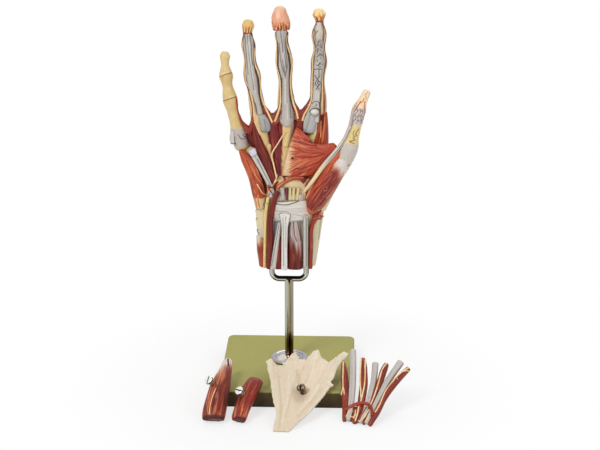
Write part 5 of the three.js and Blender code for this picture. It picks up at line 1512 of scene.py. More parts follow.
hand_loft("hypothenar", [
    [-24.4, -8, 58, 5.6, 5], [-26.8, -9.6, 70, 5.7, 6.4], [-31, -8.6, 88, 5.8, 6.4],
    [-37.6, -6, 100, 4.6, 5], [-41.4, -4.6, 106, 2.4, 2.8],
], belly((186, 84, 50), (140, 50, 34), (216, 120, 76), 2, 1.1, hypothenar_lines), "muscle",
    "hypothenar_muscle", rings=170, sides=110, relief=ropy(seed=2))


def knuckle_paint(skin):
    p = Paint(skin, (206, 196, 190))
    p.mix(smooth(122, 126, skin.z), (214, 194, 146))
    p.line([(-48, 125), (-47.6, 120), (-47, 112)], (96, 84, 84), 0.8, share=0.9)
    # Painted shade down the left edge and at the lower end.
    p.mix(smooth(-51, -51.8, skin.x) * skin.front * 0.8, (120, 108, 104))
    return p.mix(smooth(1.2, 0.3, skin.along) * 0.9, (70, 60, 56))


hand_loft("little_knuckle", [[-48.2, -1.6, 112.6, 3.2, 4.2], [-48.6, -1.4, 117, 3.4, 4.6],
                             [-48.4, -1.2, 122, 3, 4.2], [-47.6, -1, 127, 2, 3]], knuckle_paint, "bone",
          "little_finger_bones", rings=80, sides=56, flat_ends=(True, False))
hand_loft("opponens", [
    [-30.4, -3, 129, 2.6, 3], [-26.2, -5, 114, 4, 4.4], [-20, -6.4, 97, 4.4, 4.6],
    [-13.6, -8.6, 81, 3.8, 4],
], belly((116, 34, 26), (74, 18, 18), (158, 66, 42), 3, 0.9), "deep_muscle", "little_finger_opponens",
    rings=150, sides=80, relief=ropy(16, 1.1, 0.35, 3))
hand_loft("hypothenar_tendon", [
    [-32.4, -7.8, 108.6, 3.1, 1.3], [-30, -8.6, 103.6, 3, 1.5], [-26.8, -10, 98, 2.8, 1.5],
    [-20.2, -12, 86, 2.4, 1.4], [-16.4, -13, 78, 2.1, 1.3], [-13.6, -13.6, 71, 1.8, 1.2],
], hypothenar_tendon_paint, "tendon", "cut_hypothenar_tendon", rings=140, sides=56, boxy=0.75,
    flat_ends=(True, False), relief=ropy(20, 0.8, 0.2))


def first_lines(p):
    p.fill([(26.4, 141), (31.4, 141), (31.4, 135), (29.8, 126), (28, 125.3), (27, 135.5)], (92, 24, 20),
           0.8)
    p.line([(28.6, 134), (28.3, 126.1), (28.3, 120)], (238, 178, 128), 0.7)
    p.line([(31.6, 138), (31, 126), (30, 116)], (232, 150, 100), 0.6)
    return p.line([(26.2, 139), (26, 125.5), (24, 116.4)], (74, 22, 18), 1)


hand_loft("first_interosseous", [
    [18, 1, 78, 6, 6], [26, 0, 96, 6.6, 7.4], [29.6, 0, 112, 5.4, 7], [30.8, 0, 128, 4, 5.4],
    [31.4, 0, 140, 2.4, 3],
], belly((190, 82, 48), (130, 40, 28), (220, 126, 80), 5, 1.0, first_lines), "muscle",
    "first_dorsal_interosseous", rings=160, sides=90, relief=ropy(18, 1.2, 0.35, 5))
for name, stations, node, colours in (
    ("second", [[4, 2, 80, 5, 6.6], [7.6, 2, 102, 6, 7], [10, 1.4, 120, 6.6, 6.4],
                [10.8, 0.8, 130, 6.6, 5.4], [12.2, 0.6, 137, 4, 4.4]], "interosseous_middle_index",
     ((132, 44, 32), (84, 22, 20), (168, 78, 50))),
    ("third", [[-6, 2, 80, 5, 6.6], [-9.4, 2, 102, 6, 7], [-12.8, 1.4, 120, 6.4, 6.4],
               [-13.8, 0.8, 129, 6, 5.4], [-14.2, 0.6, 135, 4.2, 4.4]], "interosseous_ring_middle",
     ((126, 42, 42), (84, 20, 28), (172, 84, 62))),
    ("fourth", [[-14, 3, 80, 5, 6], [-23, 3, 100, 6, 6], [-32, 2, 118, 5.4, 5.4],
                [-34.2, 1, 124, 3.6, 4]], "interosseous_little_ring",
     ((120, 36, 28), (78, 20, 20), (160, 70, 46))),
):
    hand_loft(name + "_interosseous", stations, belly(*colours, 7, 0.9), "deep_muscle", node, rings=120,
              sides=72, relief=ropy(18, 1.1, 0.35, 7))


# Thumb's long tendon, and the red strip of muscle that fills the gap behind it

def long_tendon_paint(skin):
    """Grey at the thumb, cream towards the wrist, with a rosy line down its left side and painted shade
    down its right.
    """
    p = sinew((206, 200, 190), grooves=[([(29, 97), (40, 108.6), (48.6, 120.6), (53.8, 132)], 0.5)],
              light=[([(17, 80), (26, 93), (37.2, 107), (46.8, 120)], 0.9)], edge=False)(skin)
    p.mix(smooth(108, 90, skin.z), (238, 214, 168))
    p.mix(smooth(0.74, 0.9, -np.cos(skin.angle)) * 0.7, (214, 160, 132))
    return p.mix(smooth(0.8, 0.95, np.cos(skin.angle)) * 0.8, (100, 72, 60))


hand_loft("thumb_long_tendon", [
    [14.6, -17, 74, 1.5, 1.2], [22, -20.4, 85, 1.8, 1.4], [30.8, -20.4, 98, 2, 1.5],
    [40.8, -19, 110, 2, 1.5], [49, -20.6, 122, 1.8, 1.4], [53.6, -22.2, 134, 1.6, 1.4],
], long_tendon_paint, "tendon", "long_thumb_tendon", rings=200, sides=48, relief=ropy(30, 0.9, 0.2))
hand_loft("thumb_tendon_end", [
    [53.2, -22, 132.6, 1.5, 1.3], [54.6, -22.6, 139, 1.4, 1.2], [55.6, -22.8, 146, 1.2, 1],
    [59, -22.6, 153, 0.8, 0.8],
], sinew((206, 184, 172)), "tendon", "thumb", rings=80, sides=36, relief=ropy(20, 0.9, 0.15))
hand_loft("thumb_strip", [
    [27, -15.4, 93, 2, 2.2], [34, -16, 101.5, 3, 2.6], [43.6, -16.4, 110.5, 2.8, 2.6],
    [50.4, -18, 118.4, 2, 2.4], [54.4, -19, 127, 1.3, 1.8], [56, -20, 134, 0.8, 1.2],
], belly((140, 48, 34), (92, 26, 22), (190, 92, 58), 4, 0.8), "muscle", "thumb", rings=160, sides=44,
    relief=ropy(14, 0.9, 0.3, 3))


def thenar_rim(p):
    """Cream along the long tendon, red where it meets the belly."""
    across = np.cos(p.skin.angle)
    p.mix(smooth(0.1, 0.6, across) * 0.8, (190, 70, 50))
    return p.mix(smooth(-0.5, -0.72, across) * 0.8, (240, 204, 154))


hand_loft("thenar_edge", [
    [18.6, -12, 66, 3, 3], [22, -14.6, 75, 3.6, 3.4], [28.6, -16, 86.6, 4.2, 3.6],
    [35.4, -16.6, 97, 4.2, 3.6], [43, -16.8, 106.4, 3.4, 3.2], [47.4, -17, 112, 2.2, 2.4],
], belly((200, 96, 56), (160, 58, 38), (226, 140, 92), 6, 0.9, thenar_rim), "muscle", "thenar_muscle",
    rings=150, sides=56, relief=ropy(14, 1, 0.35, 5))

# Wrist
SEAMS = [[(-11, 61.5), (-6.4, 61.2), (-2.7, 61.3), (1.4, 62), (4.6, 62.9), (9.6, 64.7), (12.2, 67.1)],
         [(-13.6, 55), (-5.7, 55.6), (0.2, 55.4)], [(4, 53), (9, 52), (14, 50)]]


def band_paint(skin):
    p = Paint(skin, (216, 208, 198))
    p.mix(smooth(0.45, 0.85, noise(skin.x / 12, skin.z / 0.9, 2)) * 0.45, (170, 168, 170))
    p.mix(smooth(0.6, 0.95, noise(skin.x / 9, skin.z / 1.2, 5)) * 0.6, (230, 229, 226))
    p.mix(smooth(12, 16, skin.x) * 0.5, (224, 190, 160))
    p.line(SEAMS[0], (70, 64, 66), 0.7)
    p.line(SEAMS[1], (150, 146, 148), 0.6, share=0.8)
    p.line(SEAMS[2], (150, 146, 148), 0.5, share=0.7)
    return p.line([(-14, 48), (-8, 46.6), (2, 46.4), (12, 47)], (140, 136, 138), 0.7, share=0.7)


hand_loft("retinaculum", [
    [-14, -12.5, 54, 9, 2], [-7, -15.8, 54, 9, 2.4], [2, -16.8, 54.5, 9.4, 2.6],
    [11, -15.8, 55, 9.4, 2.4], [18, -12.5, 55, 8.6, 2],
], band_paint, "tendon", "flexor_retinaculum", rings=150, sides=150, boxy=0.7,
    relief=lambda s: (0.25 * (noise(s.x / 14, s.z / 1.1, 2) - 0.5)
                      - 0.4 * smooth(1, 0, distance(s.x, s.z, curved(SEAMS[0])))) * s.front)
hand_loft("palmaris_tendon", [
    [-3.6, -17.4, 0.5, 3, 1.5], [-3.4, -18, 20, 2.8, 1.5], [-3, -18.8, 40, 2.9, 1.5],
    [-2.8, -19.6, 47, 4, 1.4], [-2.8, -19.8, 53, 5.2, 1.2],
], sinew((232, 228, 222), dark=(132, 124, 122), fibre=0.2,
         grooves=[([(-4.6, 50), (-4.2, 38), (-4.4, 4)], 0.5), ([(-1.8, 51), (-2, 40), (-2, 22)], 0.4),
                  ([(-7.8, 53.6), (-6, 54.4), (-2.8, 54.6), (0.4, 54.4), (2.2, 53.6)], 0.7)],
         light=[([(-3.2, 48), (-3, 20), (-3.2, 2)], 0.8)]), "tendon", "palmaris_longus_tendon", rings=160,
          sides=56, boxy=0.75, relief=ropy(40, 0.9, 0.25))
hand_loft("radial_tendon", [[15.4, -15.6, 0.5, 2.4, 1.9], [15.5, -16.6, 26, 2.4, 1.9],
                            [15.4, -16.4, 50, 2.5, 1.9]],
          sinew((178, 178, 166), grooves=[([(16.2, 49), (16.4, 4)], 0.5)],
                light=[([(14.4, 49), (14.6, 4)], 0.9)]), "tendon", "radial_flexor_tendon", rings=120,
          sides=44, relief=ropy(40, 0.8, 0.2))
hand_loft("slanted_tendon", [[-13.8, -15.6, 0.5, 2.6, 1.6], [-10.6, -16.6, 24, 2.3, 1.5],
                             [-7.6, -17, 44, 1.7, 1.3]],
          sinew((202, 198, 192), fibre=0.2, grooves=[([(-8.4, 42), (-11.4, 24), (-15, 3)], 0.5)],
                light=[([(-7.6, 42), (-10, 24), (-13, 3)], 0.8)]), "tendon",
          "superficial_flexor_tendon", rings=120, sides=44, relief=ropy(30, 0.8, 0.2))
hand_loft("ulnar_vessel", [
    [-17.4, -14.4, 0.5, 2.4, 2.2], [-16, -15.6, 25, 2.4, 2.2], [-15.6, -16, 46, 2.3, 2.2],
    [-13, -16, 61, 2.3, 2.2], [-9.6, -15.6, 72, 2.2, 2.2],
], belly((118, 34, 26), (78, 20, 18), (150, 56, 40), 4, 1.4), "artery", "ulnar_artery", rings=160,
    sides=40)


def nerve_paint(skin):
    p = Paint(skin, (236, 208, 138)).streaks((214, 172, 96), (248, 230, 178), 3, 24, 0.9)
    # Painted shade along both sides.
    return p.mix(smooth(0.8, 0.98, np.abs(np.cos(skin.angle))) * 0.7, (136, 120, 66))


hand_loft("ulnar_nerve_strand", [
    [-21.3, -12.6, 0.5, 1.5, 1.5], [-20.8, -14, 26, 1.5, 1.5], [-20, -14.4, 52, 1.5, 1.5],
    [-18, -14.2, 66, 1.5, 1.5],
], nerve_paint, "nerve", "ulnar_nerve", rings=160, sides=30, relief=ropy(20, 0.8, 0.2))
hand_loft("radial_vessel", [
    [19.4, -13, 0.5, 2.1, 2], [20, -14, 22, 2.1, 2], [20.4, -14.2, 38, 2.1, 2], [25, -12, 50, 2.1, 2],
    [30, -7, 56, 1.8, 1.8],
], belly((158, 56, 38), (104, 30, 24), (196, 92, 60), 5, 1.2), "artery", "radial_artery", rings=160,
    sides=36)
hand_loft("deep_arch", [
    [-9, -13, 76, 1.9, 1.9], [-3, -11.2, 80.5, 1.7, 1.7], [5, -10.6, 83.5, 1.6, 1.6],
    [13, -12.6, 84, 1.5, 1.5],
], belly((182, 84, 54), (132, 46, 32), (216, 126, 84), 5, 1.2), "artery", "deep_palmar_arch", rings=120,
    sides=32)
hand_loft("deep_nerve", [
    [-2, -6.6, 126, 0.55, 0.6], [-8.6, -6.2, 115, 0.6, 0.7], [-14.6, -6.6, 104, 0.65, 0.7],
    [-13, -8.6, 95, 0.7, 0.7], [-10.4, -11, 84, 0.75, 0.8],
], belly(PEACH, (232, 182, 124), (252, 226, 186), 5, 1.2), "nerve", "deep_ulnar_nerve", rings=120,
    sides=20)
hand_loft("ulnar_belly", [[-9.2, -12.6, 0.5, 4.6, 4.4], [-8.6, -13, 14, 4, 4],
                          [-7.4, -13.6, 28, 2.6, 2.6]],
          belly((134, 44, 32), (90, 26, 22), (168, 76, 50), 6, 0.9), "deep_muscle",
          "ulnar_flexor_belly", rings=100, sides=64, relief=ropy(14, 1.1, 0.3, 6))


def belly_lines(p):
    top = smooth(20, 32, p.skin.z + 5 * noise(p.skin.x / 1.6, p.skin.z / 12, 3) + (p.skin.x - 6) * 0.9)
    p.mix(top * p.face, (178, 160, 154))
    p.mix(top * p.face * smooth(0.5, 0.85, p.skin.fibres(22, 0.9, 8)), (206, 202, 200))
    low = smooth(14, 26, p.skin.z + 0.9 * (p.skin.x - 2))
    p.mix(p.face * low * smooth(0.5, 0.8, p.skin.fibres(16, 0.8, 9)) * 0.6, (200, 160, 146))
    p.lines([[(-0.9, 38.5), (1.6, 28.6), (4.5, 20.5), (7.6, 13), (10.4, 6.7)],
             [(2, 47.1), (1, 42), (0.8, 36), (3.4, 27)], [(8.2, 45.1), (10, 35.7), (11.5, 26.8)],
             [(4.6, 46), (5.2, 36), (7.4, 27)]], (76, 42, 44), 0.6)
    return p


def soft_top(p):
    """The muscle's upper end fades into the fascia."""
    fade = p.skin.z + 7 * (noise(p.skin.x / 1.4, p.skin.z / 12, 3) - 0.5)
    p.mix(smooth(17, 24, fade), (214, 160, 120))
    return p.mix(smooth(21, 27, fade), (218, 206, 190))


hand_loft("radial_belly", [[5.6, -12.6, 0.5, 7.4, 5], [5.8, -13.2, 18, 7, 4.6],
                           [5.4, -13.8, 32, 6.2, 3.8], [5, -14.2, 45, 5, 2.8]],
          belly((116, 40, 28), (76, 22, 18), (156, 74, 54), 8, 1.0, belly_lines), "muscle",
          "radial_flexor_belly", rings=140, sides=90, relief=ropy(20, 1.2, 0.35, 8))
hand_loft("ulnar_wrist_belly", [[-22, -4, 0.5, 5, 8.4], [-23.8, -4.6, 14, 4.8, 7.4],
                                [-26, -5.6, 27, 3, 4.4]],
          belly((164, 66, 40), (112, 38, 26), (198, 106, 68), 9, 1.0, soft_top), "muscle",
          "ulnar_wrist_flexor", rings=100, sides=64, relief=ropy(14, 1.2, 0.35, 9))

stub_ends = [[-5.2, 2, (190, 182, 176)], [-1.4, 1.2, (112, 38, 44)], [1.6, 1.3, (236, 214, 156)],
             [4.8, 1.3, (236, 214, 156)], [8.6, 1.5, (230, 208, 152)]]
for count, (x, w, colour) in enumerate(stub_ends):
    stub = loft([[x * 0.9, -13.6, 65, w, 1.8], [x * 1.04, -14, 76, w, 1.4]], rings=50, sides=32,
                flat_ends=(False, True))
    on_hand("tunnel_tendon_%d" % (count + 1), stub, ["carpal_tunnel_tendons"], "tendon",
            sinew(colour, dark=(90, 60, 50), fibre=0.2, edge=True))
stub_root = loft([[-10, -12.6, 66, 4, 2], [13, -12.6, 66, 4, 2]], rings=60, sides=60)
on_hand("tunnel_root", stub_root, ["carpal_tunnel_tendons"], "tendon",
        lambda s: Paint(s, (214, 206, 190)).mix(smooth(0.5, 0.9, noise(s.x / 0.9, s.z / 6, 3)) * 0.7,
                                                (120, 92, 84)))
WRIST_HOSTS = ["arm", "retinaculum", "ulnar_vessel", "ulnar_nerve_strand", "hypothenar", "opponens",
               "hypothenar_tendon"]
strands("wrist_nerves", [
    ([(-17.9, 68), (-16, 73), (-13.6, 77.6), (-11.6, 81), (-10.2, 85)], 0.75),
    ([(-18, 66), (-21.6, 69), (-24.6, 74), (-27, 79)], 0.5),
    ([(-17.6, 70), (-19.4, 76), (-21, 82)], 0.45),
    ([(-13, 79), (-10.6, 80.8), (-8, 81.6)], 0.6),
    ([(-18.7, 57.1), (-19.4, 50), (-19.9, 44.6), (-20.3, 33.6)], 0.45),
], WRIST_HOSTS, "ulnar_nerve", PEACH, shade=(228, 170, 110))
strands("wrist_vessels", [
    ([(-10.4, 71), (-11.6, 74.6), (-14.8, 76), (-17.6, 76.4)], 0.9),
    ([(-14.8, 71.5), (-16.4, 74), (-17.6, 78)], 0.6),
    ([(-12, 73), (-11.4, 77.6), (-9.4, 80)], 0.8), ([(-9.6, 82.4), (-7.6, 86)], 0.5),
    ([(-5.4, 84.8), (-4.3, 83), (-3, 82)], 0.7),
], WRIST_HOSTS + ["deep_arch"], "ulnar_artery", (150, 48, 34), "artery", shade=(100, 28, 22))
strands("wrist_knob", [([(-17.6, 64.4), (-16.4, 66.4), (-14.8, 67.2)], 1.7),
                       ([(-16.6, 69.6), (-15, 69)], 1.1)], WRIST_HOSTS, "ulnar_nerve", (212, 208, 222),
        "tendon")
strands("wrist_edges", [
    ([(-18, 63), (-18.7, 60.6), (-19.8, 58.2), (-19, 56.4)], 0.35), ([(-20.4, 63), (-18.4, 61.4)], 0.35),
    ([(-21.6, 61), (-22.4, 58)], 0.3),
], WRIST_HOSTS, "ulnar_nerve", (110, 106, 60), "nerve", shade=(70, 70, 40))
strands("radial_branches", [
    ([(21.4, 46.3), (23.6, 48), (25.9, 48.4), (28, 47.6), (30.4, 45.6)], 1.0),
    ([(23, 42), (26, 45), (29, 44.4)], 0.6),
    ([(26.4, 52), (29.6, 56.6), (31.6, 60)], 0.7),
], ["arm", "radial_vessel", "thumb_ray"], "radial_artery", (168, 74, 48), "artery", shade=(112, 36, 28))
strands("thumb_twigs", [
    ([(64.6, 160), (62.6, 156.6), (60, 152.6), (57.6, 149.4), (56.5, 146.3), (55.5, 138), (54.5, 129.8),
      (51.7, 125.1), (46.6, 117.5)], (0.3, 0.6)),
    ([(55.9, 138), (59.5, 136.7), (63.7, 141.8), (65.8, 147)], 0.3),
    ([(66, 152), (66.4, 147), (65.4, 141), (66, 135)], 0.25),
    ([(60, 150), (62, 146.6), (60.6, 143), (63, 140), (62, 137)], 0.3),
    ([(64, 149), (62.6, 144.6), (64.6, 141.6)], 0.3),
], ["thumb_ray", "thumb_long_tendon"], "thumb", (150, 62, 50), "artery", shade=(104, 36, 32))
strands("fascia_twigs", [
    ([(-31, 53), (-30, 51), (-30.6, 49)], 0.3), ([(-31, 44.1), (-30.2, 42.6), (-29.9, 41)], 0.3),
    ([(-30.6, 33.4), (-28.6, 31.4), (-26.5, 29.3)], 0.35), ([(-28.6, 32.4), (-28.8, 29)], 0.3),
], ["arm"], "forearm_and_palm", (96, 48, 36), "artery", shade=(70, 30, 26))

# Back of the hand
hand_loft("back_retinaculum", [
    [-27, 10.5, 50, 8, 1.8], [-16, 15.4, 50, 8, 2], [0, 17, 50, 8, 2.2], [16, 15.4, 50, 8, 2],
    [27, 10.5, 50, 8, 1.8],
], lambda s: Paint(s, (208, 206, 200)).mix(smooth(0.45, 0.85, noise(s.x / 14, s.z / 1.0, 2)) * 0.5,
                                           (172, 168, 168)), "tendon", "extensor_retinaculum", rings=130,
          sides=90, boxy=0.7, relief=lambda s: 0.3 * (noise(s.x / 14, s.z / 1.1, 2) - 0.5))
strips = []
for finger, wrist_x, knuckle_x in (("little", -12, -34), ("ring", -6, -21.5), ("middle", 0, -2.2),
                                   ("index", 6, 20.4)):
    knuckle = RAY[finger][1]
    beyond = [[x, y + d + 0.2, z, 2.2, 1] for x, y, z, _, d in RAY[finger][2:4]]
    strips.append(loft([
        [wrist_x, 12.6, 62, 1.7, 1.3], [(wrist_x + knuckle_x) / 2, 11.4, 88, 1.8, 1.3],
        [knuckle[0], knuckle[1] + knuckle[4] + 0.3, knuckle[2], 2.4, 1.2], *beyond,
    ], rings=120, sides=28))
link = loft([[-38, 7.6, 112, 1.5, 0.9], [-24.4, 9.6, 108, 1.5, 0.9], [-2.4, 10.2, 106, 1.5, 0.9],
             [20, 9.6, 110, 1.5, 0.9]], rings=90, sides=24)
on_hand("back_tendons", joined(link, *strips), ["extensor_tendons"], "tendon", sinew((208, 205, 200)))


# Layers

OUT = (0, 0, 1)


def lying(stations, **options):
    """A loft that lies on its layer's back plane, through [x, up the slope, half width, half thickness] and
    where needed a lift."""
    rows = [[s[0], s[1], s[3] + (s[4] if len(s) > 4 else 0), s[2], s[3]] for s in stations]
    return loft(rows, depth=OUT, **options)


def near(skin, path):
    return distance(skin.x, skin.y, curved(path))


TENDON_SLIT = [(8.6, 69), (9.2, 63), (10.2, 57)]


def abductor_paint(skin):
    p = Paint(skin, (130, 46, 32), layer=True)
    p.streaks((78, 24, 20), (178, 84, 50), 2, 22, 0.9, 0.9)
    p.mix(smooth(3, -4, skin.x - 0.13 * skin.y + 3) * smooth(0.3, 0.7, skin.fibres(26, 1.1, 6)) * 0.85,
          (206, 108, 60))
    p.mix(smooth(0.6, 0.8, skin.fibres(18, 0.7, 7)) * smooth(40, 10, skin.y) * 0.7, (214, 122, 78))
    p.mix(smooth(6, 9, skin.x) * smooth(52, 40, skin.y) * 0.35, (96, 30, 26))
    p.fill([(3, 60), (2.4, 46), (4.4, 34), (8.4, 44), (7, 58)], (206, 116, 66), 3.4, 0.75)
    pale = skin.y - 0.9 * (skin.x - 3.5) + 7 * (noise(skin.x / 1.1, skin.y / 11, 3) - 0.5)
    p.mix(smooth(42, 54, pale) * 0.7, (204, 150, 124))
    p.mix(smooth(50, 58, pale), (222, 208, 198))
    p.line([(5.1, 57.7), (3.6, 46.5), (1.9, 33.5)], (236, 176, 132), 0.7, 0.6, 0.7)
    # Painted highlights: light streaks low on the left.
    p.lines([[(-6.5, 16), (-5.8, 10), (-5.2, 4.5)], [(-4.6, 26), (-4.9, 16), (-5, 8)],
             [(3.4, 22), (2.6, 12), (2.2, 4)]], (232, 150, 104), 0.5, share=0.8)
    p.lines([[(0.8, 34), (-1.6, 20), (-3.6, 6)], [(5, 34), (5, 20), (4.6, 5)], [(-7.4, 20), (-8, 8)],
             [(9, 30), (9, 12)]], (70, 20, 18), 0.7, 0.8, 0.8)
    # A painted highlight.
    p.line([(1.6, 19), (2.2, 24)], (222, 150, 140), 1.6, 2.2, 0.5)
    # Painted shade in the tendon's slit.
    p.mix((1 - smooth(0.3, 0.8, near(skin, TENDON_SLIT))) * p.face, (96, 52, 46))
    p.line([(10.4, 57), (11, 50), (11, 42)], (112, 36, 30), 1.2, 1, 0.8)
    return p.mix(smooth(2.6, 0.8, skin.y) * 0.85, (66, 22, 18))


abductor_skin = lying([
    [0.2, 0.6, 9.2, 4.8], [0.2, 3.4, 10, 5.9], [0.8, 11, 10.2, 6.4], [2.2, 23, 9.8, 6.6],
    [3.7, 35, 9.1, 6.1], [5.9, 49, 6.9, 4.8], [7.7, 61, 4.9, 3.2], [8.2, 67, 4, 2.4], [8.2, 70, 2.6, 1.6],
], rings=230, sides=170, flat_ends=True)
slit = smooth(0.9, 0.2, near(abductor_skin, TENDON_SLIT)) * smooth(58, 62, abductor_skin.y)
abductor_skin.push(0.5 * (abductor_skin.fibres(22, 1.4, 2) - 0.5))
abductor_skin.points[:, 2] -= slit * 2.2 * smooth(-0.1, 0.4, abductor_skin.normals[:, 2])
abductor_skin.find_normals()
put("abductor_belly", abductor_skin, ABDUCTOR_FRAME, "abductor", ["abductor_pollicis_brevis"], "muscle",
    abductor_paint)


def flexor_paint(skin):
    p = Paint(skin, (142, 50, 34), layer=True)
    p.streaks((92, 30, 22), (190, 86, 54), 3, 18, 0.8, 0.9)
    p.mix(smooth(20, 6, skin.y) * smooth(0.5, 0.8, skin.fibres(10, 0.8, 8)) * 0.9, (230, 136, 86))
    p.mix(smooth(26, 38, skin.y) * 0.3, (128, 44, 30))
    p.fill([(6, 20), (13, 30), (17, 27), (9, 14)], (146, 40, 38), 4, 0.55)
    p.lines([[(7.6, 40), (4.4, 26), (1.2, 12)], [(14, 40), (9, 26), (5, 10)], [(17.6, 42), (13, 30)]],
            (88, 26, 20), 0.6, 0.8, 0.7)
    # Painted highlights: thin light streaks.
    p.lines([[(10.6, 42), (6.6, 28), (2.6, 12)], [(5.6, 36), (2, 22)], [(15.4, 38), (10.6, 25)]],
            (226, 128, 82), 0.45, share=0.7)
    return p.mix(smooth(3.6, 1.8, skin.y) * 0.85, (76, 24, 20))


flexor_skin = lying([
    [0.8, 1.8, 5.6, 3.8], [1.6, 5, 6.6, 5], [3.4, 13, 6.9, 5.8], [6.2, 23, 7.3, 6.1], [9.6, 34, 7.7, 5.9],
    [12.4, 42, 7.5, 5], [13.7, 46, 6.9, 4.2],
], rings=190, sides=150, flat_ends=True)
flexor_skin.push(0.45 * (flexor_skin.fibres(18, 1.2, 3) - 0.5))
put("flexor_belly", flexor_skin, FLEXOR_FRAME, "flexor", ["flexor_pollicis_brevis"], "muscle",
    flexor_paint)

# Palmar aponeurosis: a dished sheet, pleated towards its slips
SHEET_LEFT = [[-9.2, 0.6], [-7.4, 22], [-10.8, 36], [-14.8, 64], [-19.6, 90]]
SHEET_RIGHT = [[4, 0.2], [20.3, 21], [33.8, 42.5], [40, 58], [45, 79], [54.8, 98]]
SHEET_SLIPS = [
    [0, 0, 0.5], [0.06, 2.6, 1.2], [0.14, -6.6, 0.4], [0.2, -7.2, 0.1], [0.31, 7.6, 1], [0.35, 9, 1.1],
    [0.4, -0.4, 0.5], [0.48, -1, 0], [0.57, 9.6, 1], [0.63, 11, 1.1], [0.67, 0, 0.6], [0.76, -5.6, 0],
    [0.86, 0.4, 0.5], [0.94, 6.6, 1.1], [1, 3, 0.6],
]
SHEET_DISH = 3
# Bumps of the sheet's right edge: height, half width and how far they reach
SPUR = (55.6, 1.9, 2.4)
NICK = (60.4, 2.2, -1.6)


def sheet_skin():
    columns, rows = 230, 200
    across = np.linspace(0, 1, columns + 1)
    shares = np.linspace(0, 1, rows + 1)
    left = spline(np.array([(x, y, 0) for x, y in SHEET_LEFT]), shares)[0]
    right = spline(np.array([(x, y, 0) for x, y in SHEET_RIGHT]), shares)[0]
    right[:, 0] += sum(reach * np.exp(-((right[:, 1] - height) / wide) ** 2)
                       for height, wide, reach in (SPUR, NICK))
    slips = np.array(SHEET_SLIPS)
    slip = np.interp(across, slips[:, 0], slips[:, 1])
    pleat = np.interp(across, slips[:, 0], slips[:, 2])
    grid = left[:, None, :] + (right - left)[:, None, :] * across[None, :, None]
    dish = SHEET_DISH * (1 - np.sin(np.pi * across))[None, :] * np.sin(np.pi * shares)[:, None]
    torn = (1.1 * (noise(across * 70, across * 0, 5) - 0.5)
            + 0.6 * (noise(across * 160, across * 0, 8) - 0.5))
    grid[:, :, 1] += (slip[None, :] * smooth(0.6, 1, shares)[:, None]
                      + torn[None, :] * smooth(0.9, 1, shares)[:, None])
    ragged = (0.7 * (noise(shares * 26, shares * 0, 2) - 0.5)
              + 0.35 * (noise(shares * 70, shares * 0, 3) - 0.5))
    grid[:, :, 0] += ragged[:, None] * (smooth(0.94, 1, across) + smooth(0.06, 0, across))[None, :]
    grid[:, :, 2] = dish + pleat[None, :] * np.minimum(1, 3 * shares)[:, None]
    count = (rows + 1) * (columns + 1)
    flat = grid.reshape(count, 3)
    streak = noise(np.tile(across, rows + 1) * 60, np.repeat(shares, columns + 1) * 5, 4)
    edge = np.minimum(np.tile(np.minimum(across, 1 - across), rows + 1) * 16,
                      (1 - np.repeat(shares, columns + 1)) * 22)
    thick = APONEUROSIS_THICKNESS * (0.55 + 0.45 * np.clip(edge, 0, 1)) + 0.14 * (streak - 0.6)
    above = flat + np.column_stack([thick * 0, thick * 0, np.minimum(thick, APONEUROSIS_THICKNESS + 0.1)])
    points = np.vstack([flat, above])
    faces = []
    stride = columns + 1
    for i in range(rows):
        for j in range(columns):
            a = i * stride + j
            faces.append((a + count, a + 1 + count, a + 1 + stride + count, a + stride + count))
            faces.append((a, a + stride, a + stride + 1, a + 1))
        s, e = i * stride, i * stride + columns
        faces.append((s, s + count, s + count + stride, s + stride))
        faces.append((e, e + stride, e + stride + count, e + count))
    for j in range(columns):
        t = rows * stride + j
        faces.append((j, j + 1, j + 1 + count, j + count))
        faces.append((t, t + count, t + 1 + count, t + 1))
    share = np.tile(np.repeat(shares, columns + 1), 2)
    skin = Skin(points, faces, share, points[:, 0] / 1000, points[:, 1], np.full(2 * count, 1000.0))
    skin.across = np.tile(np.tile(across, rows + 1), 2)
    return skin


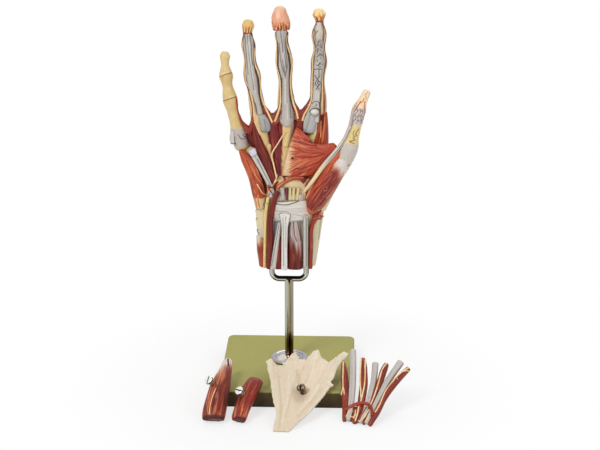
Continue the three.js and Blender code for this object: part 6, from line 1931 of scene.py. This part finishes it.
def sheet_paint(skin):
    p = Paint(skin, (231, 215, 188), layer=True)
    long = noise(skin.across * 46, skin.share * 3.4, 2)
    p.mix(smooth(0.5, 0.9, long) * 0.2, (210, 190, 158))
    edge = np.minimum(skin.across, 1 - skin.across) * 50
    p.mix(smooth(5, 1.5, edge) * 0.7, (240, 230, 202))
    p.mix(smooth(0.3, 0.7, noise(skin.x / 9, skin.y / 26, 11)) * 0.35, (236, 212, 190))
    p.mix(smooth(0.55, 0.95, noise(skin.across * 70, skin.share * 5, 6)) * 0.3, (240, 230, 208))
    shadow = (190, 168, 134)
    for path, width in (([(-7.9, 71.9), (-5.2, 48.3), (-3.2, 22.8), (-4.1, 2.9)], 1.6),
                        ([(9, 70.9), (6.9, 55), (4.1, 35.6), (0.5, 15.3)], 1.6),
                        ([(14.9, 84.4), (11.8, 68.3), (8.9, 48.5)], 1.4),
                        ([(31.6, 51.6), (21.5, 33.4), (10.8, 15.5)], 1.4),
                        ([(26, 90), (21, 72), (17, 60)], 1.6), ([(44, 88), (36, 76), (28, 60)], 1.2),
                        ([(-13, 84), (-10.4, 62)], 1.2)):
        p.line(path, shadow, width, 3, 0.32)
    # Painted highlights along the pleats' ridges.
    p.lines([[(2.2, 88.2), (2.2, 61.5), (1.5, 35.5), (-1.9, 10.3)],
             [(25.3, 98.3), (22.2, 75.2), (17.5, 55.2)],
             [(39.9, 84.9), (31.4, 64.7), (23.1, 42.4), (13.1, 25.6)]], (240, 230, 208), 2, 2, 0.5)
    p.mix((1 - p.face) * 0.4, (222, 206, 172))
    # Painted shade in the dished middle round the screw; a darker streak runs up above it.
    p.mix(smooth(10, 3, np.hypot(skin.x - 13, (skin.y - 44) / 1.5)) * p.face * 0.3, (170, 146, 112))
    p.line([(9, 76), (11, 62), (14, 50)], (196, 170, 132), 3, 5, 0.5)
    return p.mix(smooth(0.96, 1, skin.share) * 0.5, (236, 226, 202))


put("aponeurosis_sheet", sheet_skin(), APONEUROSIS_FRAME, "aponeurosis", ["palmar_aponeurosis"], "fascia",
    sheet_paint)

# Long flexor tendons with the bundles between them
BUNDLES = [
    [[0.4, 1, 1.9, 2.6], [-2.6, 13, 2.7, 3], [-7.6, 29, 3.5, 3], [-12.8, 43, 3.5, 2.8],
     [-18.8, 58, 2.2, 2.2]],
    [[10, 1, 2.6, 2.4], [9.6, 20.5, 3.2, 2.8], [6, 40, 3.6, 3], [0.8, 56, 3.4, 2.8],
     [-2.6, 66, 2.2, 2.4]],
    [[18, 1, 1.1, 2.4], [18.8, 12, 1.3, 2.6], [19.2, 26, 1.9, 2.8], [19.6, 44, 2.8, 2.8],
     [19.2, 57, 3.2, 2.8], [19.3, 64, 2.5, 2.4]],
    [[24, 1, 1.9, 2.8], [26.6, 14, 2.2, 3], [28.2, 27, 2.3, 2.8], [30.6, 39, 2.6, 2.8],
     [35.8, 54.5, 2.8, 2.8], [39.8, 63.5, 2.2, 2.4]],
]
ARCH = [
    [-1.6, 9.6, 1.3, 1.3, 4.2], [3.6, 13.4, 1.4, 1.3, 5.4], [9, 17.2, 1.5, 1.4, 5.6],
    [14, 18.6, 1.5, 1.4, 5.6], [18.6, 17.6, 1.4, 1.3, 5.6], [22, 14, 1.3, 1.3, 5.4],
    [24, 8.4, 1.2, 1.2, 4.8],
]
bundle_skins = [lying(stations, rings=150, sides=56) for stations in BUNDLES]
bundle_root = lying([[0.6, 7.6, 6.6, 1.6], [13, 9.4, 8.4, 1.9], [24.4, 7.6, 6.6, 1.6]], rings=60,
                    sides=48, boxy=0.6)


def bundle_paint(skin):
    p = Paint(skin, (148, 58, 38), layer=True).streaks((92, 30, 24), (190, 96, 60), 4, 16, 0.9, 0.9)
    # Painted shade along both sides.
    p.mix(smooth(0.55, 0.9, np.abs(np.cos(skin.angle))) * 0.5, (104, 34, 26))
    return p.mix(smooth(0.72, 0.9, skin.fibres(30, 1.2, 12)) * p.face * 0.6, (212, 128, 78))


for count, skin in enumerate(bundle_skins):
    put("bundle_%d" % (count + 1), skin.push(0.35 * (skin.fibres(14, 1.1, count) - 0.5)), TENDON_FRAME,
        "tendon_layer", ["layer_vessel_bundles"], "deep_muscle", bundle_paint)
put("bundle_root", bundle_root, TENDON_FRAME, "tendon_layer", ["layer_vessel_bundles"], "deep_muscle",
    bundle_paint)


def lay(path, hosts, lift):
    """A smooth line drawn on a layer, as it lies on the skins."""
    tree = tree_of(joined(*hosts) if len(hosts) > 1 else hosts[0])
    line, height = [], LAYER_TOP
    for x, y in curved(path):
        spot = tree.ray_cast(Vector((x, y, DRAWN_FROM)), Vector((0, 0, -1)))[0]
        spot = spot or tree.find_nearest(Vector((x, y, height)))[0]
        height = spot.z
        line.append(tuple(spot))
    return eased(line) + np.array([0, 0, lift])


def layer_strands(name, paths, hosts, place, body, node, colour, shade, slot="nerve"):
    tubes = [tube(lay(path, hosts, radius * 0.3), radius, 10, 1) for path, radius in paths]
    skin = joined(*tubes) if len(tubes) > 1 else tubes[0]
    put(name, skin, place, body, [node], slot, strand_paint(colour, shade, 4))


layer_strands("abductor_nerve", [([(0.8, 29), (-0.1, 25.3), (-1.8, 18), (-3, 9), (-3.2, 2)], 0.42)],
              [abductor_skin], ABDUCTOR_FRAME, "abductor", "abductor_pollicis_brevis", (246, 216, 168),
              (226, 170, 116))

LAYER_HOLE = (15.4, 25.6)
LAYER_TENDONS = {
    "ring": [[4.3, 0.6, 2, 1.9, 2], [3, 11, 2.4, 2, 2.2], [-2.6, 34, 3, 2.8, 0.8], [-8.8, 55, 3, 3],
             [-14.6, 73.4, 2.8, 2.9]],
    "middle": [[15.2, 0.6, 2.1, 1.9, 2], [16.4, 13, 2.2, 2, 2.2], [15.3, 31, 2.6, 2.6, 0.8],
               [13.6, 46, 2.7, 2.8], [9.7, 63.4, 2.9, 2.9]],
    "index": [[20.8, 0.6, 1.8, 1.9, 2], [22.2, 13, 2.1, 2, 2.2], [23.6, 27, 2.5, 2.6, 0.8],
              [25.9, 46, 2.9, 3], [31.7, 69, 3.2, 3.2]],
}


def layer_tendon_paint(skin):
    p = Paint(skin, (204, 198, 192), layer=True)
    p.mix(smooth(0.45, 0.9, skin.fibres(40, 0.9, 3)) * 0.4, (160, 150, 144))
    p.mix(smooth(0.5, 0.95, skin.fibres(30, 1.1, 5)) * 0.6, (222, 214, 206))
    # Painted shade along both sides.
    p.mix(smooth(0.84, 0.97, np.abs(np.cos(skin.angle))) * 0.45, (126, 112, 112))
    rosy = smooth(0.5, 0.3, skin.share) * smooth(0.0, 0.3, skin.share)
    p.mix(rosy * smooth(0.6, 0.9, skin.fibres(12, 1, 9)) * 0.4, (186, 150, 132))
    return p.mix(smooth(0.985, 1, skin.share) * 0.5, (226, 200, 178))


tendon_skins = {}
for finger, stations in LAYER_TENDONS.items():
    skin = lying(stations, rings=180, sides=60, flat_ends=True)
    skin.push(0.18 * (skin.fibres(40, 0.9, 2) - 0.5))
    if finger == "middle":
        away = np.hypot(skin.x - LAYER_HOLE[0], skin.y - LAYER_HOLE[1])
        skin.points[:, 2] -= 1.3 * (1 - smooth(0.7, 1.1, away)) * (skin.normals[:, 2] > 0.2)
        skin.find_normals()
    tendon_skins[finger] = skin
    put(finger + "_layer_tendon", skin, TENDON_FRAME, "tendon_layer", ["layer_tendon_" + finger],
        "tendon", layer_tendon_paint)

arch_skin = lying(ARCH, rings=130, sides=32)
put("palmar_arch", arch_skin, TENDON_FRAME, "tendon_layer", ["superficial_palmar_arch"], "artery",
    belly((156, 48, 34), (108, 30, 24), (190, 84, 56), 6, 1.2))
LAYER_NERVE = (247, 220, 172)
LAYER_NERVE_SHADE = (230, 172, 112)
layer_strands("bundle_nerves", [
    ([(-18.8, 58.6), (-17, 53), (-15, 46.8), (-12.6, 39), (-10.1, 31.8), (-9.7, 24.9)], 0.65),
    ([(-10.1, 31.8), (-8.4, 29), (-6.6, 24.5)], 0.5),
    ([(-4.2, 66), (-2, 58), (0.1, 49.7), (4.1, 37.5), (7, 30.2), (9, 24)], 0.7),
    ([(-0.6, 66.7), (2, 58.6), (4.5, 50.5), (7.9, 38.3), (9.6, 24.8), (10.1, 17)], 0.7),
    ([(20.4, 65.1), (18.9, 59), (18.6, 54.3), (19.5, 41.6), (19.9, 28.9), (19.4, 18)], 0.7),
    ([(40.7, 63.5), (38, 60), (34.6, 54), (31.4, 47), (28.4, 38), (27.6, 30), (27.4, 20), (26, 12)], 0.7),
    ([(37.6, 58.6), (40, 60.4), (41.6, 61.4)], 0.45), ([(29.6, 42), (31.6, 45.6), (34.6, 50)], 0.4),
], bundle_skins, TENDON_FRAME, "tendon_layer", "layer_vessel_bundles", LAYER_NERVE, LAYER_NERVE_SHADE)
layer_hosts = [bundle_root, *bundle_skins, *tendon_skins.values()]
layer_strands("low_nerves", [
    ([(9.7, 15.1), (10.4, 11), (10.8, 7.6), (11, 1)], 0.75), ([(10.3, 6.6), (8, 5), (5.6, 4)], 0.55),
    ([(7.4, 12), (8.6, 8), (8.8, 3)], 0.6),
    ([(19.6, 14.2), (18.6, 10), (17.9, 6.2), (16.4, 1.4)], 0.75),
    ([(22.3, 8), (21.4, 4.6), (20.6, 1.4)], 0.6),
    ([(5.6, 10.4), (3, 7.4), (1.4, 3)], 0.55),
], layer_hosts, TENDON_FRAME, "tendon_layer", "layer_vessel_bundles", LAYER_NERVE, LAYER_NERVE_SHADE)
layer_strands("bundle_vessels", [
    ([(-16.6, 54), (-12.4, 44.8), (-8, 34), (-4.6, 22), (-1.4, 11), (1, 3)], 0.6),
    ([(2.6, 56), (5.6, 44), (7.6, 34), (8.6, 26)], 0.5),
    ([(18, 60), (17.6, 46), (18.2, 32), (18.4, 20)], 0.5),
    ([(34, 50), (31, 40), (29.2, 28), (28, 16), (25.6, 5)], 0.6),
    ([(12.6, 16.6), (13.4, 9), (12.4, 2)], 0.6), ([(17, 15.4), (15.4, 9), (14.4, 2)], 0.5),
], layer_hosts, TENDON_FRAME, "tendon_layer", "layer_vessel_bundles", (166, 58, 40), (110, 32, 26),
    "artery")


# Captive screws

def screw_skin(depth, slot):
    """A slotted cheese-head screw with its collar, as turned rings; the slot is pressed into the head."""
    head, shank, collar = SCREW_HEAD_DIAMETER / 2, SCREW_SHANK_DIAMETER / 2, SCREW_COLLAR_DIAMETER / 2
    under, top = SCREW_STANDOFF, SCREW_STANDOFF + SCREW_HEAD_THICKNESS
    dome = [(0.98 * head, top - 0.45), (0.93 * head, top - 0.18), (0.86 * head, top - 0.03),
            (0.8 * head, top)]
    flat = [(share * head, top) for share in np.linspace(0.78, 0.02, 26)]
    skin = turned([
        (0.001, -depth), (shank, -depth), (shank, SEAT_GAP), (collar, SEAT_GAP),
        (collar, 0.7 * SCREW_COLLAR_HEIGHT),
        (0.75 * collar, SCREW_COLLAR_HEIGHT), (shank, SCREW_COLLAR_HEIGHT), (shank, under - 0.02),
        (shank, under), (0.86 * head, under),
        (0.9 * head, under + 0.02), (head, under + 0.45), (head, under + 0.6), (head, top - 1.15),
        (head, top - 1.1), (head, top - 0.8),
        *dome, *flat, (0.001, top),
    ], 260)
    across = np.abs(skin.x * math.sin(slot) - skin.y * math.cos(slot))
    in_slot = (1 - smooth(SCREW_SLOT_WIDTH / 2 - 0.04, SCREW_SLOT_WIDTH / 2 + 0.1,
                          across)) * (skin.z > top - 1.12)
    skin.points[:, 2] = np.where(in_slot > 0, np.minimum(skin.z, skin.z * (1 - in_slot)
                                                         + (top - SCREW_SLOT_DEPTH) * in_slot), skin.z)
    skin.find_normals()
    skin.in_slot = in_slot
    return skin


def screw_paint(skin):
    # Painted reflection and shade: the head's side darker, the collar and shank under the head darker still
    # with dark patches, and the slot painted dark as shade inside it.
    p = Paint(skin, (238, 235, 226))
    rim = skin.radius / (SCREW_HEAD_DIAMETER / 2)
    p.mix(smooth(0.6, 0.9, rim) * smooth(SCREW_STANDOFF + 2.2, SCREW_STANDOFF + 1.8, skin.z),
          (134, 124, 108))
    p.mix(smooth(SCREW_STANDOFF, SCREW_STANDOFF - 1.2, skin.z), (128, 106, 86))
    low = smooth(SCREW_STANDOFF + 0.3, SCREW_STANDOFF - 0.3, skin.z)
    p.mix(smooth(0.5, 0.8, noise(skin.angle * 2.4, skin.z / 3, 3)) * low, (72, 52, 40))
    p.mix(skin.in_slot, (40, 32, 28))
    return p


def dark_reflection_paint(skin):
    """Painted reflections of the dark side of the room on the aponeurosis's screw: dark patches, darker
    below the head, a painted highlight ring on the head, and the slot painted dark as shade.
    """
    p = screw_paint(skin)
    rim = skin.radius / (SCREW_HEAD_DIAMETER / 2)
    p.mix(smooth(SCREW_STANDOFF - 3, SCREW_STANDOFF - 1, skin.z) * 0.8, (112, 92, 68))
    p.mix(smooth(0.16, 0.05, np.abs(rim - 0.6)) * smooth(SCREW_STANDOFF + 0.5, SCREW_STANDOFF + 1.4,
                                                         skin.z), (206, 190, 160))
    p.mix(smooth(0.5, 0.62, noise(skin.angle * 1.6, skin.radius, 5)) * 0.75, (66, 48, 34))
    return p.mix(skin.in_slot, (40, 30, 24))


LAYER_SCREWS = {
    "aponeurosis": (APONEUROSIS_FRAME, "palmar_aponeurosis_screw", [15.4, 47, 3.2], 0.05, -0.3, 1.5, 2.2),
    "abductor": (ABDUCTOR_FRAME, "abductor_pollicis_brevis_screw", [-2.2, 36, 10.2], 0.1, -0.55, 1.3, 8),
    "flexor": (FLEXOR_FRAME, "flexor_pollicis_brevis_screw", [4, 26, 10], 0.1, -0.5, -0.5, 8),
}
for layer, (place, node, seat, tilt_x, tilt_y, slot, depth) in LAYER_SCREWS.items():
    turn = Matrix.Rotation(tilt_x, 4, "X") @ Matrix.Rotation(tilt_y, 4, "Y")
    spot = place @ Matrix.Translation(Vector(seat)) @ turn @ Matrix.Scale(1 / HAND_SCALE, 4)
    put(layer + "_screw_metal", screw_skin(depth, slot), spot, layer + "_screw", [node], "bright_metal",
        dark_reflection_paint if layer == "aponeurosis" else screw_paint)


# Floor, world and lamps

FLOOR_REACH = 4
SHADE_START = 0.08
SHADE_END = 0.24
WORLD_LIGHT = 0.42
LAMPS_AIM = (0, 0, 0.15)


def seen_share(nodes, links):
    """1 for the rays of the camera and of mirrors, which see the white background."""
    rays = nodes.new("ShaderNodeLightPath")
    either = nodes.new("ShaderNodeMath")
    either.operation = "MAXIMUM"
    links.new(rays.outputs["Is Camera Ray"], either.inputs[0])
    links.new(rays.outputs["Is Glossy Ray"], either.inputs[1])
    return either.outputs["Value"]


def mixed(nodes, links, share, first, second, surface_input):
    """Two shaders mixed by that share, as the surface."""
    mix = nodes.new("ShaderNodeMixShader")
    links.new(share, mix.inputs[0])
    links.new(first.outputs[0], mix.inputs[1])
    links.new(second.outputs[0], mix.inputs[2])
    links.new(mix.outputs[0], surface_input)


def floor_material():
    """A pale floor that takes the object's shadow near it, and is as white as the background further
    off."""
    material, nodes, links, shader = new_material("pale_floor")
    set_inputs(shader, {"Base Color": (0.95, 0.95, 0.95, 1), "Roughness": 0.8, "Specular IOR Level": 0.1})
    white = set_inputs(nodes.new("ShaderNodeEmission"), {"Color": (1, 1, 1, 1)})
    place = nodes.new("ShaderNodeNewGeometry")
    centred = nodes.new("ShaderNodeVectorMath")
    centred.operation = "DISTANCE"
    centred.inputs[1].default_value = (float(STEM[0]), float(STEM[1]) - 0.03, 0)
    far = set_inputs(nodes.new("ShaderNodeMapRange"), {"From Min": SHADE_START, "From Max": SHADE_END,
                                                       "To Min": 0.68})
    far.interpolation_type = "SMOOTHSTEP"
    share = nodes.new("ShaderNodeMath")
    share.operation = "MULTIPLY"
    links.new(place.outputs["Position"], centred.inputs[0])
    links.new(centred.outputs["Value"], far.inputs["Value"])
    links.new(seen_share(nodes, links), share.inputs[0])
    links.new(far.outputs["Result"], share.inputs[1])
    mixed(nodes, links, share.outputs["Value"], shader, white, nodes["Material Output"].inputs["Surface"])
    return material


floor_mesh = bpy.data.meshes.new("floor")
floor_corners = [(x * FLOOR_REACH, y * FLOOR_REACH, 0) for x, y in ((-1, -1), (1, -1), (1, 1), (-1, 1))]
floor_mesh.from_pydata(floor_corners, [], [(0, 1, 2, 3)])
floor = bpy.data.objects.new("floor", floor_mesh)
bpy.context.scene.collection.objects.link(floor)
floor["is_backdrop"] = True
floor_mesh.materials.append(floor_material())

world = bpy.data.worlds.new("studio")
bpy.context.scene.world = world
world.use_nodes = True
nodes, links = world.node_tree.nodes, world.node_tree.links
lighting = set_inputs(nodes["Background"], {"Color": (1, 1, 1, 1), "Strength": WORLD_LIGHT})
white = set_inputs(nodes.new("ShaderNodeBackground"), {"Color": (1, 1, 1, 1)})
mixed(nodes, links, seen_share(nodes, links), lighting, white, nodes["World Output"].inputs["Surface"])


def lamp(name, x, y, z, size, power):
    data = bpy.data.lights.new(name, "AREA")
    data.size = size
    data.energy = power
    spot = bpy.data.objects.new(name, data)
    spot.location = (x, y, z)
    spot.rotation_euler = (Vector(LAMPS_AIM) - spot.location).to_track_quat("-Z", "Y").to_euler()
    bpy.context.scene.collection.objects.link(spot)


lamp("key", -0.7, -0.9, 1.2, 0.5, 10.5)
lamp("fill", 0.9, -0.8, 0.8, 0.9, 4)
lamp("rim", 0.2, 0.9, 1.1, 0.8, 4.5)

bpy.context.scene.view_settings.view_transform = "Standard"

low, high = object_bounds()
